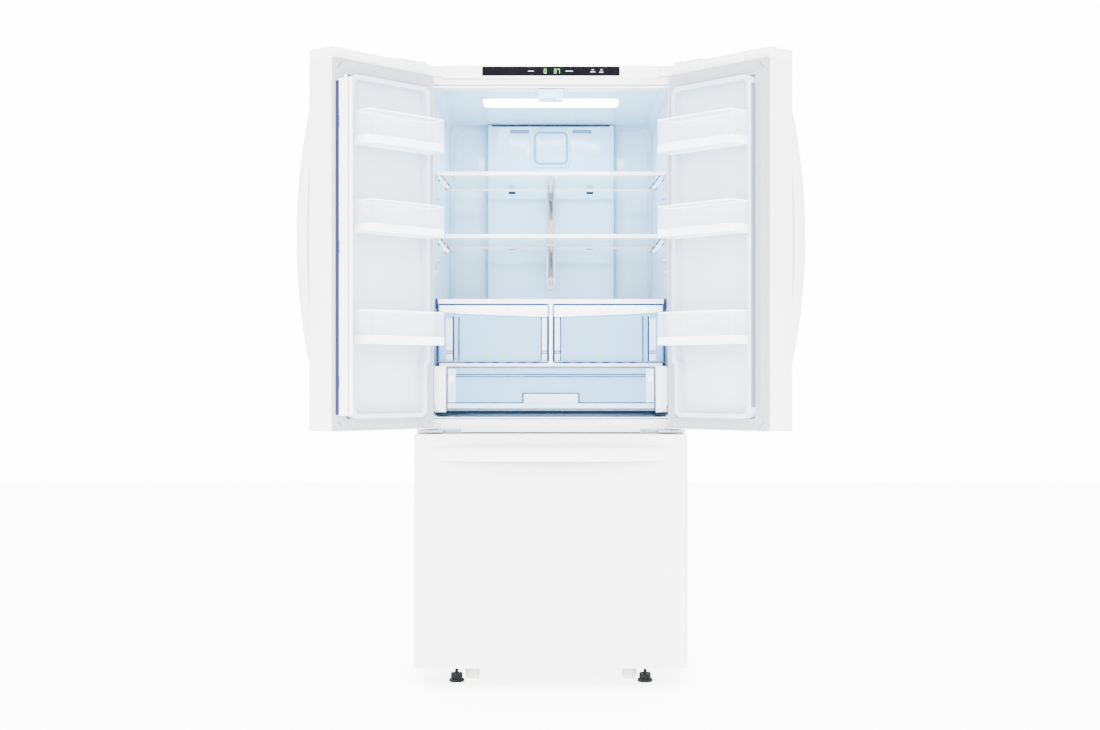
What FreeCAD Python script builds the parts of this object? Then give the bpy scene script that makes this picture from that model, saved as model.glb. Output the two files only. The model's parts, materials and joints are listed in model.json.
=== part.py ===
import FreeCAD, Part
import Sketcher
import os
import re

# A 30-inch bottom-freezer refrigerator with two hinged doors, in millimetres.
# +X is to the right, +Y to the back and +Z up; Z = 0 is the floor.
# It stands with both doors swung open and every drawer pushed in.

document = FreeCAD.newDocument("FrenchDoorRefrigerator")

# Driving dimensions.  X sizes are distances from the middle plane, Y sizes are
# distances behind the case front unless their name says otherwise.
SIZES = {
    # steel case
    "half_case": 378, "case_front": -154, "case_depth": 683, "case_top": 1711,
    "case_bottom": 45, "sheet_steel": 1, "liner_wall": 2, "running_gap": 0.3,
    # fresh food space, wider and taller at the front
    "fridge_half_front": 336, "fridge_half_rear": 317, "fridge_floor": 750,
    "fridge_top_front": 1680, "fridge_top_rear": 1657, "fridge_depth": 590,
    "fridge_corner": 22,
    # freezer space, deeper above the machine room
    "freezer_half": 320, "freezer_floor": 110, "freezer_top": 690, "freezer_step": 343,
    "freezer_low_depth": 400, "freezer_high_depth": 590,
    "machine_front": 455, "machine_top": 300, "rail_depth": 20, "base_plate": 2,
    # door shells
    "door_gap": 12, "door_bottom": 719, "door_top": 1727, "door_side": 377, "door_edge": 4,
    "hinge_corner": 5, "front_corner": 8, "front_radius": 5000, "front_reach": 106.2,
    "top_cap": 30, "bottom_cap": 12, "door_opening": 131.8,
    # hinge axis, in front of the case front
    "hinge_side": 361.2, "hinge_ahead": 47.3, "pin_radius": 5, "pin_play": 0.05,
    "arm_thickness": 5, "arm_radius": 12, "cover_radius": 16, "cover_top": 1740,
    "cover_inner": 307.5, "cover_depth": 110, "cap_block_far": 331, "cap_block_near": 271,
    "cap_block_rise": 10, "cap_block_depth": 55, "cap_block_back": 30,
    "middle_plate_inner": 253, "middle_plate_low": 705, "middle_plate_high": 718,
    "middle_arm_low": 709, "middle_arm_inner": 300, "plate_steel": 3,
    # raised rim on the inside of a door
    "rim_side": 330, "rim_free": 46, "rim_bottom": 753, "rim_top": 1657, "rim_height": 32,
    "rim_width": 12, "rim_floor": 6, "rim_step_top": 893, "rim_step_in": 11, "rim_corner": 22,
    # door seal
    "seal_side": 362, "seal_free": 6, "seal_bottom": 722, "seal_top": 1697,
    # door bins
    "bin_side": 324, "bin_free": 52, "bin_reach": 102, "bin_wall": 2.5, "bin_back": 8,
    "bin_tab_side": 317.5, "bin_tab_free": 58.5,
    "bin_low_1": 949, "bin_high_1": 1038, "bin_low_2": 1241, "bin_high_2": 1326,
    "bin_low_3": 1472, "bin_high_3": 1561,
    # door handles, bowed bars
    "handle_low": 876, "handle_high": 1594, "handle_reach": 61, "grip_low": 1016,
    "grip_high": 1446, "grip_depth": 20, "handle_near": 12, "handle_far": 52,
    # folding bar between the doors
    "bar_width": 50, "bar_thickness": 14, "bar_low": 762, "bar_high": 1640,
    "pivot_side": 17, "pivot_behind": 8, "knuckle_radius": 7, "knuckle_half": 14,
    "knuckle_1": 850, "knuckle_2": 1201, "knuckle_3": 1529, "bar_pin": 3,
    "cam_radius": 4, "cam_height": 8, "cam_along": 30,
    "guide_half": 35, "guide_front": 4, "guide_back": 46, "guide_low": 1644,
    # freezer drawer
    "drawer_half": 378, "drawer_low": 59.6, "drawer_high": 704.3,
    "pull_low": 632, "pull_high": 670, "pull_half": 326, "pull_reach": 60,
    "pull_grip_half": 200, "pull_grip_depth": 20,
    "seal_width": 26, "drawer_seal_half": 345, "drawer_seal_low": 84, "drawer_seal_high": 699,
    "slide_low": 436, "slide_high": 472, "slide_inner": 300, "slide_outer": 308,
    "slide_length": 380, "basket_half": 290, "basket_low": 122, "basket_high": 473.7,
    "basket_length": 372, "tub_wall": 3, "tray_low": 474, "tray_high": 540,
    "tray_front": 10, "tray_length": 220, "tray_half": 292,
    # freezer back
    "evaporator_panel": 500, "evaporator_half": 210, "evaporator_low": 370,
    "evaporator_high": 560, "fan_radius": 52, "fan_height": 622, "fan_behind": 545,
    # fresh food fittings
    "shelf_front": 97, "shelf_depth": 400, "shelf_inner": 5.7, "shelf_outer": 330.5,
    "shelf_rear_outer": 317.5, "shelf_bar": 12, "shelf_bar_low": 6, "shelf_bar_high": 4.5,
    "shelf_bar_inner": 0.4, "trim_side": 5, "trim_rear": 8, "trim_under": 4.5, "trim_over": 0.5,
    "glass_thickness": 4, "shelf_1": 1270, "shelf_2": 1450, "arm_rear_drop": 92,
    "arm_front_drop": 16, "arm_inner": 4, "arm_outer": 8, "arm_reach": 330,
    "duct_half": 197, "duct_front": 530, "duct_top": 1655, "duct_shell": 3,
    "track_half": 14, "track_low": 1138, "track_high": 1500, "track_thickness": 3,
    "filter_width": 125, "filter_height": 122, "filter_centre": 1583, "filter_corner": 27,
    "filter_proud": 6,
    "lamp_half": 196, "lamp_front": 169, "lamp_back": 257, "lamp_thickness": 3.2,
    "cover_low": 1074, "cover_high": 1088, "cover_front_half": 330.5, "cover_rear_half": 317,
    "crisper_low": 907.3, "crisper_high": 1072, "crisper_front_half": 323,
    "crisper_rear_half": 315, "crisper_inner": 8, "crisper_length": 400,
    "deck_low": 894, "deck_high": 907, "deck_front_half": 327, "deck_rear_half": 317,
    "post_half": 5,
    "pantry_half": 296, "pantry_low": 768, "pantry_high": 890, "pantry_front": 52,
    "pantry_length": 440, "pantry_rail_inner": 298, "pantry_rail_outer": 315,
    "pantry_flange_outer": 331, "pantry_rail_front": 26,
    # top trim with the display
    "trim_half": 307, "trim_low": 1704, "trim_proud": 4, "trim_depth": 60,
    "display_half": 194, "display_low": 1711, "display_high": 1737, "display_proud": 1.5,
    # feet and rollers
    "leg_side": 267, "leg_behind": 30, "pad_radius": 22, "pad_height": 9,
    "collar_radius": 17, "collar_height": 26, "stem_radius": 5, "stem_top": 46.5,
    "roller_side": 223, "roller_behind": 66, "roller_radius": 19, "roller_width": 34,
    "roller_lift": 2, "rear_roller_side": 300, "rear_roller_behind": 630,
    "axle_radius": 4, "fork_steel": 2.5, "fork_half": 14,
    # machine room
    "compressor_radius": 82, "compressor_height": 165, "compressor_side": -190,
    "compressor_behind": 568, "condenser_half_width": 95, "condenser_depth": 70,
    "condenser_side": 230, "condenser_behind": 568, "condenser_height": 190,
    "cooling_fan_radius": 75, "cooling_fan_side": 55, "cooling_fan_height": 165,
    "fin_thickness": 2, "fin_overhang": 10, "can_rounding": 34, "can_lift": 14,
    "can_plate_half": 74, "can_plate_thickness": 4, "can_foot_spread": 60,
    "can_foot_radius": 11, "can_foot_height": 16, "hub_radius": 16, "blade_root": 12,
    "blade_chord": 26, "blade_thickness": 2, "blade_pitch": 24, "motor_radius": 26,
    "motor_depth": 14, "shaft_length": 30, "stand_half": 30, "stand_thickness": 12,
    # slots and openings
    "louvre_half": 300, "louvre_height": 8, "louvre_step": 20, "louvre_first": 60,
    "vent_half_1": 30, "vent_side_1": 98, "vent_height_1": 1636, "vent_tall_1": 6,
    "vent_half_2": 11, "vent_side_2": 122, "vent_height_2": 1443, "vent_tall_2": 3.5,
    "vent_height_3": 1269, "track_slot_in": 3, "track_slot_out": 7, "track_slot_step": 30,
    "track_slot_tall": 16, "track_slot_first": 14, "arm_hole_radius": 3.5,
    "arm_hole_first": 10, "arm_hole_step": 14, "guide_channel_left": 25,
    "guide_channel_right": 14, "guide_channel_back": 38,
}

sheet = document.addObject("Spreadsheet::Sheet", "Sizes")
for row, (alias, value) in enumerate(SIZES.items(), start=1):
    sheet.set(f"A{row}", alias)
    sheet.set(f"B{row}", str(value))
    sheet.setAlias(f"B{row}", alias)
document.recompute()

sub_parts = []
FRONT = "case_front"
REAR = "(case_front + case_depth)"


def size(text):
    """The value of a sum of sheet cells."""
    sheet.set("D1", "=" + str(text))
    sheet.recompute()
    return float(sheet.get("D1"))


def link(text):
    """The same sum, as an expression that another object can be bound to."""
    return re.sub(r"\b(?!sqrt)[a-z]\w+", lambda word: "Sizes." + word.group(), str(text))


def bind(thing, **properties):
    """Ties properties to sums of sheet cells; __ stands for a dot in a property's path."""
    for path, text in properties.items():
        thing.setExpression(path.replace("__", "."), link(text))
    return thing


def box(x, y, z):
    """A block between two values on each axis."""
    block = document.addObject("Part::Box", "Block")
    return bind(
        block,
        Length=f"({x[1]}) - ({x[0]})",
        Width=f"({y[1]}) - ({y[0]})",
        Height=f"({z[1]}) - ({z[0]})",
        Placement__Base__x=x[0],
        Placement__Base__y=y[0],
        Placement__Base__z=z[0],
    )


def wedge(y, x_front, x_rear, z_front, z_rear):
    """A block whose front and back faces differ in size."""
    shape = document.addObject("Part::Wedge", "Wedge")
    return bind(
        shape,
        Ymin=y[0], Ymax=y[1], Xmin=x_front[0], Xmax=x_front[1], X2min=x_rear[0],
        X2max=x_rear[1], Zmin=z_front[0], Zmax=z_front[1], Z2min=z_rear[0], Z2max=z_rear[1],
    )


TURNS = {
    "x": FreeCAD.Rotation(FreeCAD.Vector(0, 1, 0), 90),
    "y": FreeCAD.Rotation(FreeCAD.Vector(1, 0, 0), -90),
    "z": FreeCAD.Rotation(),
}


def rod(radius, length, start, axis="z"):
    """A round bar from a start point along an axis."""
    bar = document.addObject("Part::Cylinder", "Rod")
    bar.Placement = FreeCAD.Placement(FreeCAD.Vector(), TURNS[axis])
    return bind(
        bar,
        Radius=radius,
        Height=length,
        Placement__Base__x=start[0],
        Placement__Base__y=start[1],
        Placement__Base__z=start[2],
    )


def fuse(*pieces):
    """One solid from touching pieces."""
    joined = document.addObject("Part::MultiFuse", "Joined")
    joined.Shapes = list(pieces)
    joined.Refine = True
    return joined


def cut(base, *tools):
    """The base with every tool taken away."""
    for tool in tools:
        trimmed = document.addObject("Part::Cut", "Trimmed")
        trimmed.Base = base
        trimmed.Tool = tool
        base = trimmed
    return base


def group(*pieces):
    """Separate solids that belong to one sub-part."""
    together = document.addObject("Part::Compound", "Group")
    together.Links = list(pieces)
    return together


def mirrored(piece):
    """The same piece on the other side of the middle plane."""
    other = document.addObject("Part::Mirroring", "Mirror")
    other.Source = piece
    other.Base = FreeCAD.Vector(0, 0, 0)
    other.Normal = FreeCAD.Vector(1, 0, 0)
    return other


def both_sides(piece):
    return group(piece, mirrored(piece))


def rounded(base, radius, along):
    """Rounds the straight edges that run along an axis."""
    base.recompute(True)
    axis = {"x": 0, "y": 1, "z": 2}[along]
    picked = []
    for number, edge in enumerate(base.Shape.Edges, start=1):
        first, last = edge.Vertexes[0].Point, edge.Vertexes[-1].Point
        if abs((last - first).normalize()[axis]) > 0.95:
            picked.append((number, size(radius), size(radius)))
    soft = document.addObject("Part::Fillet", "Rounded")
    soft.Base = base
    soft.Edges = picked
    return soft


def outline_sketch(body, plane, outline, lift):
    """A closed outline on one of the body's own planes.

    Each corner is (across, up) or, where the edge that arrives there is an
    arc, (across, up, across_on_arc, up_on_arc)."""
    sketch = body.newObject("Sketcher::SketchObject", "Outline")
    planes = [feature for feature in body.Origin.OriginFeatures if feature.Role == plane]
    sketch.AttachmentSupport = [(planes[0], "")]
    sketch.MapMode = "FlatFace"
    bind(sketch, AttachmentOffset__Base__z=lift)
    spots = [FreeCAD.Vector(size(corner[0]), size(corner[1]), 0) for corner in outline]
    starts, ends = [], []
    for index, corner in enumerate(outline):
        before, here = spots[index - 1], spots[index]
        if len(corner) == 2:
            edge = sketch.addGeometry(Part.LineSegment(before, here))
            turned = False
        else:
            middle = FreeCAD.Vector(size(corner[2]), size(corner[3]), 0)
            # the sketch takes arcs that run anticlockwise only
            turned = (middle - before).cross(here - middle).z < 0
            first, last = (here, before) if turned else (before, here)
            edge = sketch.addGeometry(Part.Arc(first, middle, last))
            fix_point(sketch, sketch.addGeometry(Part.Point(middle), True), 1, corner[2:])
            sketch.addConstraint(Sketcher.Constraint("PointOnObject", edge + 1, 1, edge))
        starts.append((edge, 2 if turned else 1))
        ends.append((edge, 1 if turned else 2))
    for index, corner in enumerate(outline):
        following = starts[(index + 1) % len(outline)]
        sketch.addConstraint(Sketcher.Constraint("Coincident", *ends[index], *following))
        fix_point(sketch, *ends[index], corner[:2])
    return sketch


def fix_point(sketch, edge, spot, place):
    """Ties a sketch point's two distances from the origin to the sheet."""
    for direction, text in zip(("DistanceX", "DistanceY"), place):
        number = sketch.addConstraint(
            Sketcher.Constraint(direction, -1, 1, edge, spot, size(text))
        )
        sketch.setExpression(f"Constraints[{number}]", link(text))


def extruded(plane, outline, low, high):
    """A PartDesign body: an outline padded from low to high along its plane's normal."""
    body = document.addObject("PartDesign::Body", "Extruded")
    pad = body.newObject("PartDesign::Pad", "Pad")
    pad.Profile = outline_sketch(body, plane, outline, low)
    bind(pad, Length=f"({high}) - ({low})")
    return body


def turned(outline):
    """A PartDesign body: a half outline turned about the Z axis."""
    body = document.addObject("PartDesign::Body", "Turned")
    revolution = body.newObject("PartDesign::Revolution", "Revolution")
    sketch = outline_sketch(body, "XZ_Plane", outline, "0")
    revolution.Profile = sketch
    revolution.ReferenceAxis = (sketch, ["V_Axis"])
    revolution.Angle = 360
    return body


def sub_part(label, shape):
    """Names a finished sub-part."""
    shape.Label = label
    sub_parts.append(shape)
    return shape



# ---- cabinet ----

def cabinet_wrapper():
    low, high, edge = "case_bottom", "case_top", "half_case - sheet_steel"
    window = "-(fridge_half_front + liner_wall)"
    depth = (FRONT, REAR + " - sheet_steel")
    side = fuse(
        box(("-half_case", "-(half_case - sheet_steel)"), depth, (low, high)),
        box(("-(half_case - sheet_steel)", window), (FRONT, FRONT + " + sheet_steel"),
            (low, "case_top - sheet_steel")),
    )
    across = (f"-({edge})", edge)
    top = fuse(
        box(across, depth, ("case_top - sheet_steel", high)),
        box((window, "fridge_half_front + liner_wall"), (FRONT, FRONT + " + sheet_steel"),
            ("fridge_top_front + liner_wall", "case_top - sheet_steel")),
    )
    sub_part("cabinet_wrapper", group(side, mirrored(side), top))


def cabinet_back():
    across = ("-half_case", "half_case")
    panel = box(across, (REAR + " - sheet_steel", REAR), ("machine_top", "case_top"))
    sub_part("cabinet_back", panel)


def machine_room_cover():
    across = ("-half_case", "half_case")
    depth = (REAR + " - sheet_steel", REAR)
    panel = box(across, depth, ("case_bottom", "machine_top - running_gap"))
    slots = []
    for row in range(8):
        height = f"case_bottom + louvre_first + {row} * louvre_step"
        slots.append(box(("-louvre_half", "louvre_half"), (REAR + " - 5", REAR + " + 5"),
                         (height, height + " + louvre_height")))
    sub_part("machine_room_cover", cut(panel, fuse(*slots)))


def insulation():
    """Foam round both spaces, as slabs that meet face to face."""
    edge = "half_case - sheet_steel"
    front = FRONT + " + sheet_steel"
    fridge_back = FRONT + " + fridge_depth + liner_wall"
    floor, ceiling = "fridge_floor - liner_wall", "fridge_top_front + liner_wall"
    rear_ceiling = "fridge_top_rear + liner_wall"
    fridge_side = wedge(
        (front, fridge_back),
        (f"-({edge})", "-(fridge_half_front + liner_wall)"),
        (f"-({edge})", "-(fridge_half_rear + liner_wall)"),
        (floor, ceiling), (floor, rear_ceiling),
    )
    across = (f"-({edge})", edge)
    roof = "case_top - sheet_steel"
    top = wedge((front, fridge_back), across, across, (ceiling, roof), (rear_ceiling, roof))
    middle = box(across, (FRONT + " + rail_depth", fridge_back), ("freezer_top + liner_wall", floor))
    back = box(across, (fridge_back, REAR + " - sheet_steel"), ("freezer_step", roof))
    outside = ("-(half_case - sheet_steel)", "-(freezer_half + liner_wall)")
    ledge = "freezer_step"
    low_side = box(outside, (front, FRONT + " + machine_front"), ("case_bottom + base_plate", ledge))
    high_side = box(outside, (front, fridge_back), (ledge, "freezer_top + liner_wall"))
    inside = ("-(freezer_half + liner_wall)", "freezer_half + liner_wall")
    wall = FRONT + " + freezer_low_depth + liner_wall"
    bottom = box(inside, (front, wall), ("case_bottom + base_plate", "freezer_floor - liner_wall"))
    low_back = box(inside, (wall, FRONT + " + machine_front"), ("case_bottom + base_plate",
                                                               "freezer_step - liner_wall"))
    step = box(across, (FRONT + " + machine_front", REAR + " - sheet_steel"),
               ("machine_top", "freezer_step - liner_wall"))
    sides = [fridge_side, low_side, high_side]
    sub_part("insulation", group(*sides, *map(mirrored, sides), top, middle, back, bottom,
                                 low_back, step))


def fridge_liner():
    depth = (FRONT, FRONT + " + fridge_depth")
    half_front, half_rear = "fridge_half_front", "fridge_half_rear"
    cavity = wedge(
        (FRONT, depth[1]), (f"-{half_front}", half_front), (f"-{half_rear}", half_rear),
        ("fridge_floor", "fridge_top_front"), ("fridge_floor", "fridge_top_rear"),
    )
    shell = wedge(
        (FRONT, depth[1] + " + liner_wall"),
        ("-(fridge_half_front + liner_wall)", "fridge_half_front + liner_wall"),
        ("-(fridge_half_rear + liner_wall)", "fridge_half_rear + liner_wall"),
        ("fridge_floor - liner_wall", "fridge_top_front + liner_wall"),
        ("fridge_floor - liner_wall", "fridge_top_rear + liner_wall"),
    )
    hollow = rounded(cavity, "fridge_corner", "y")
    sub_part("fridge_liner", cut(shell, hollow))


def freezer_liner():
    inside = ("-freezer_half", "freezer_half")
    outside = ("-(freezer_half + liner_wall)", "freezer_half + liner_wall")
    low_back = FRONT + " + freezer_low_depth"
    high_back = FRONT + " + freezer_high_depth"
    cavity = fuse(
        box(inside, (FRONT, low_back), ("freezer_floor", "freezer_top")),
        box(inside, (FRONT, high_back), ("freezer_step", "freezer_top")),
    )
    shell = fuse(
        box(outside, (FRONT, low_back + " + liner_wall"),
            ("freezer_floor - liner_wall", "freezer_top + liner_wall")),
        box(outside, (FRONT, high_back + " + liner_wall"),
            ("freezer_step - liner_wall", "freezer_top + liner_wall")),
    )
    sub_part("freezer_liner", cut(shell, cavity))


def center_rail():
    across = ("-(fridge_half_front + liner_wall)", "fridge_half_front + liner_wall")
    heights = ("freezer_top + liner_wall", "fridge_floor - liner_wall")
    whole = box(across, (FRONT, FRONT + " + rail_depth"), heights)
    hollow = box(across, (FRONT + " + 1.5", FRONT + " + rail_depth + 1"),
                 (heights[0] + " + 1.5", heights[1] + " - 1.5"))
    sub_part("center_rail", cut(whole, hollow))


def roller_fork(side, behind, centre):
    """A bracket with two ears and the axle that a roller turns on."""
    outer = f"{side} - roller_width / 2 - fork_steel - 1"
    ears = []
    for start in (outer, f"{side} + roller_width / 2 + 1"):
        ears.append(box((start, start + " + fork_steel"),
                        (f"{behind} - fork_half", f"{behind} + fork_half"),
                        (f"{centre} - 8", "case_bottom")))
    bridge = box((outer, f"{side} + roller_width / 2 + fork_steel + 1"),
                 (f"{behind} - fork_half", f"{behind} + fork_half"),
                 ("case_bottom - fork_steel", "case_bottom"))
    axle = rod("axle_radius", "roller_width + 2 * fork_steel + 2", (outer, behind, centre), "x")
    return fuse(*ears, bridge, axle)


FRONT_ROLLER = "(case_front + roller_behind)"
REAR_ROLLER = "(case_front + rear_roller_behind)"
FRONT_AXLE = "(roller_radius + roller_lift)"
REAR_AXLE = "roller_radius"


def base_frame():
    edge = "half_case - sheet_steel"
    plate_top = "case_bottom + base_plate"
    plate = box((f"-({edge})", edge), (FRONT + " + sheet_steel", REAR + " - sheet_steel"),
                ("case_bottom", plate_top))
    front_lip = box(("-(fridge_half_front + liner_wall)", "fridge_half_front + liner_wall"),
                    (FRONT, FRONT + " + sheet_steel"), ("case_bottom", "freezer_floor - liner_wall"))
    leg_hole = rod("stem_radius + pin_play", "base_plate + 20",
                   ("-leg_side", FRONT + " + leg_behind", "case_bottom - 10"))
    tray = cut(fuse(plate, front_lip), group(leg_hole, mirrored(leg_hole)))
    nut = cut(
        rod("stem_radius + 6", "6", ("-leg_side", FRONT + " + leg_behind", "case_bottom - 6")),
        rod("stem_radius + pin_play", "base_plate + 20",
            ("-leg_side", FRONT + " + leg_behind", "case_bottom - 10")),
    )
    forks = [
        roller_fork("-roller_side", FRONT_ROLLER, FRONT_AXLE),
        roller_fork("-rear_roller_side", REAR_ROLLER, REAR_AXLE),
    ]
    sub_part("base_frame", group(tray, nut, mirrored(nut), *forks, *map(mirrored, forks)))


# ---- top of the case ----

def top_trim():
    across = ("-trim_half", "trim_half")
    front = box(across, (FRONT + " - trim_proud", FRONT), ("trim_low", "cover_top"))
    shelf = box(across, (FRONT, FRONT + " + trim_depth"), ("case_top", "cover_top"))
    sub_part("top_trim", fuse(front, shelf))


def control_display():
    ahead = FRONT + " - trim_proud"
    panel = box(("-display_half", "display_half"), (ahead + " - display_proud", ahead),
                ("display_low", "display_high"))
    sub_part("control_display", panel)


def hinge_arm_outline(grow):
    """The upper hinge arm from above, made larger by grow."""
    radius = f"(arm_radius + {grow})"
    left, right = f"-hinge_side - {radius}", f"-hinge_side + {radius}"
    back, middle = f"case_front + 90 + {grow}", "case_front - hinge_ahead"
    return [(left, middle), (right, middle, "-hinge_side", f"{middle} - {radius}"),
            (right, back), (left, back)]


def hinge_brackets():
    pin_top = "door_top + 2 + arm_thickness"
    middle = FRONT + " - hinge_ahead"
    upper = fuse(
        extruded("XY_Plane", hinge_arm_outline("0"), "door_top + 2", pin_top),
        box(("-hinge_side - arm_radius", "-hinge_side + arm_radius"),
            (FRONT + " + 10", FRONT + " + 90"), ("case_top", "door_top + 2")),
        rod("pin_radius", pin_top + " - (door_top - top_cap + 3)",
            ("-hinge_side", middle, "door_top - top_cap + 3")),
    )
    plate = box(("-(hinge_side + arm_radius)", "-middle_plate_inner"),
                (FRONT + " - plate_steel", FRONT), ("middle_plate_low", "middle_plate_high"))
    arm = box(("-(hinge_side + arm_radius)", "-middle_arm_inner"),
              (middle + " - arm_radius", FRONT + " - plate_steel"),
              ("middle_arm_low", "middle_arm_low + arm_thickness"))
    holes = []
    for place in range(3):
        side = f"-middle_arm_inner - arm_hole_first - {place} * arm_hole_step"
        holes.append(rod("arm_hole_radius", "arm_thickness + 4",
                         (side, FRONT + " - 20", "middle_arm_low - 2")))
    pin = rod("pin_radius", "door_bottom + bottom_cap - 2 - middle_arm_low",
              ("-hinge_side", middle, "middle_arm_low"))
    lower = fuse(plate, cut(arm, group(*holes)), pin)
    sub_part("hinge_brackets", group(both_sides(upper), both_sides(lower)))


def hinge_covers():
    nose_low = "door_top + 1.5"
    middle = FRONT + " - hinge_ahead"
    outline = [
        ("-hinge_side - cover_radius", middle),
        ("-hinge_side + cover_radius", middle, "-hinge_side", middle + " - cover_radius"),
        ("-hinge_side + cover_radius", FRONT + " + 1"),
        ("-hinge_side - cover_radius", FRONT + " + 1"),
    ]
    nose = extruded("XY_Plane", outline, nose_low, "cover_top")
    rear = box(("-(half_case - 1)", "-cover_inner"), (FRONT, FRONT + " + cover_depth"),
               ("case_top", "cover_top"))
    pocket = extruded("XY_Plane", hinge_arm_outline("1"), "case_top - 1",
                      "door_top + 2 + arm_thickness + 0.5")
    sub_part("hinge_covers", both_sides(cut(fuse(nose, rear), pocket)))


# ---- fresh food space ----

def duct_cover():
    back = FRONT + " + fridge_depth - running_gap"
    front = FRONT + " + duct_front"
    heights = ("fridge_floor + running_gap", "duct_top")
    whole = box(("-duct_half", "duct_half"), (front, back), heights)
    hollow = box(("-(duct_half - duct_shell)", "duct_half - duct_shell"),
                 (front + " + duct_shell", back + " + 1"),
                 (heights[0] + " + duct_shell", heights[1] + " - duct_shell"))
    vents = []
    for kind, height in (("1", "vent_height_1"), ("2", "vent_height_2"), ("2", "vent_height_3")):
        middle, half, tall = f"-vent_side_{kind}", f"vent_half_{kind}", f"vent_tall_{kind}"
        vent = box((f"{middle} - {half}", f"{middle} + {half}"),
                   (front + " - 5", front + " + 10"), (f"{height} - {tall}", f"{height} + {tall}"))
        vents += [vent, mirrored(vent)]
    sub_part("duct_cover", cut(whole, hollow, group(*vents)))


def air_filter_cover():
    front = FRONT + " + duct_front"
    plate = box(("-filter_width / 2", "filter_width / 2"), (front + " - filter_proud", front),
                ("filter_centre - filter_height / 2", "filter_centre + filter_height / 2"))
    sub_part("air_filter_cover", rounded(plate, "filter_corner", "y"))


def ceiling_lamp():
    """A flat lens that lies against the sloping ceiling."""
    ceiling = "fridge_top_front - (fridge_top_front - fridge_top_rear) * {} / fridge_depth - 0.1"
    across = ("-lamp_half", "lamp_half")
    heights = []
    for depth in ("lamp_front", "lamp_back"):
        level = ceiling.format(depth)
        heights.append((level + " - lamp_thickness", level))
    lens = wedge((FRONT + " + lamp_front", FRONT + " + lamp_back"), across, across, *heights)
    sub_part("ceiling_lamp", lens)


def mullion_guide():
    block = box(("-guide_half", "guide_half"), (FRONT + " + guide_front", FRONT + " + guide_back"),
                ("guide_low", "fridge_top_front - 3"))
    channel = box(("-guide_channel_left", "guide_channel_right"),
                  (FRONT + " + guide_front - 1", FRONT + " + guide_channel_back"),
                  ("guide_low - 1", "bar_high + cam_height + 3"))
    sub_part("mullion_guide", cut(block, channel))


def shelf_track():
    front = FRONT + " + duct_front"
    strip = box(("-track_half", "track_half"), (front + " - track_thickness", front),
                ("track_low", "track_high"))
    slots = []
    for step in range(12):
        height = f"track_low + track_slot_first + {step} * track_slot_step"
        slot = box(("track_slot_in", "track_slot_out"), (front + " - 10", front + " + 1"),
                   (height, height + " + track_slot_tall"))
        slots += [slot, mirrored(slot)]
    sub_part("shelf_track", cut(strip, group(*slots)))


def shelf_brackets():
    """Tapered arms that hook into the track and carry the shelves."""
    rear = FRONT + " + duct_front - track_thickness"
    arms = []
    for height in ("shelf_1", "shelf_2"):
        top = f"{height} - trim_under"
        arm = wedge((rear + " - arm_reach", rear), ("arm_inner", "arm_outer"),
                    ("arm_inner", "arm_outer"), (f"{top} - arm_front_drop", top),
                    (f"{top} - arm_rear_drop", top))
        arms += [arm, mirrored(arm)]
    sub_part("shelf_brackets", group(*arms))


SHELF_DEPTH = (FRONT + " + shelf_front", FRONT + " + shelf_front + shelf_depth")


def shelf_wedge(inner, outer_inset, depth, heights):
    """A tapered shelf outline: its outer edge follows the wall of the space."""
    return wedge(depth, (inner, f"shelf_outer - {outer_inset}"),
                 (inner, f"shelf_rear_outer - {outer_inset}"), heights, heights)


def shelf_pane(heights):
    depth = (SHELF_DEPTH[0] + " + shelf_bar", SHELF_DEPTH[1] + " - trim_rear")
    return shelf_wedge("shelf_inner + trim_side", "trim_side", depth, heights)


def shelf_glass():
    sheets = []
    for height in ("shelf_1", "shelf_2"):
        pane = shelf_pane((f"{height} - glass_thickness", height))
        sheets += [pane, mirrored(pane)]
    sub_part("shelf_glass", group(*sheets))


def shelf_frames():
    """A front bar that runs on to the middle, and a thin trim round the other edges."""
    frames = []
    for height in ("shelf_1", "shelf_2"):
        border = shelf_wedge("shelf_inner", "0", SHELF_DEPTH,
                             (f"{height} - trim_under", f"{height} + trim_over"))
        trim = cut(border, shelf_pane((f"{height} - 10", f"{height} + 10")))
        bar = box(("shelf_bar_inner", "shelf_outer - 0.4"),
                  (SHELF_DEPTH[0], SHELF_DEPTH[0] + " + shelf_bar"),
                  (f"{height} - shelf_bar_low", f"{height} + shelf_bar_high"))
        frame = fuse(trim, bar)
        frames += [frame, mirrored(frame)]
    sub_part("shelf_frames", group(*frames))


def crisper_cover():
    heights = ("cover_low", "cover_high")
    plate = wedge((FRONT + " + shelf_front", FRONT + " + duct_front - running_gap"),
                  ("-cover_front_half", "cover_front_half"),
                  ("-cover_rear_half", "cover_rear_half"), heights, heights)
    sub_part("crisper_cover", plate)


def crisper_frame():
    """The deck under the crispers, the post between them and the lower drawer's rails."""
    depth = (FRONT + " + shelf_front", FRONT + " + duct_front - running_gap")
    heights = ("deck_low", "deck_high")
    deck = wedge(depth, ("-deck_front_half", "deck_front_half"),
                 ("-deck_rear_half", "deck_rear_half"), heights, heights)
    post = box(("-post_half", "post_half"), depth, ("deck_high", "cover_low"))
    front = FRONT + " + pantry_rail_front"
    rail = fuse(
        box(("-pantry_rail_outer", "-pantry_rail_inner"), (front, depth[1]),
            ("pantry_low - 4", "deck_low")),
        rounded(box(("-pantry_flange_outer", "-pantry_rail_inner"), (front, front + " + 8"),
                    ("pantry_low - 4", "deck_low")), "7", "y"),
    )
    sub_part("crisper_frame", group(deck, post, rail, mirrored(rail)))


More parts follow.
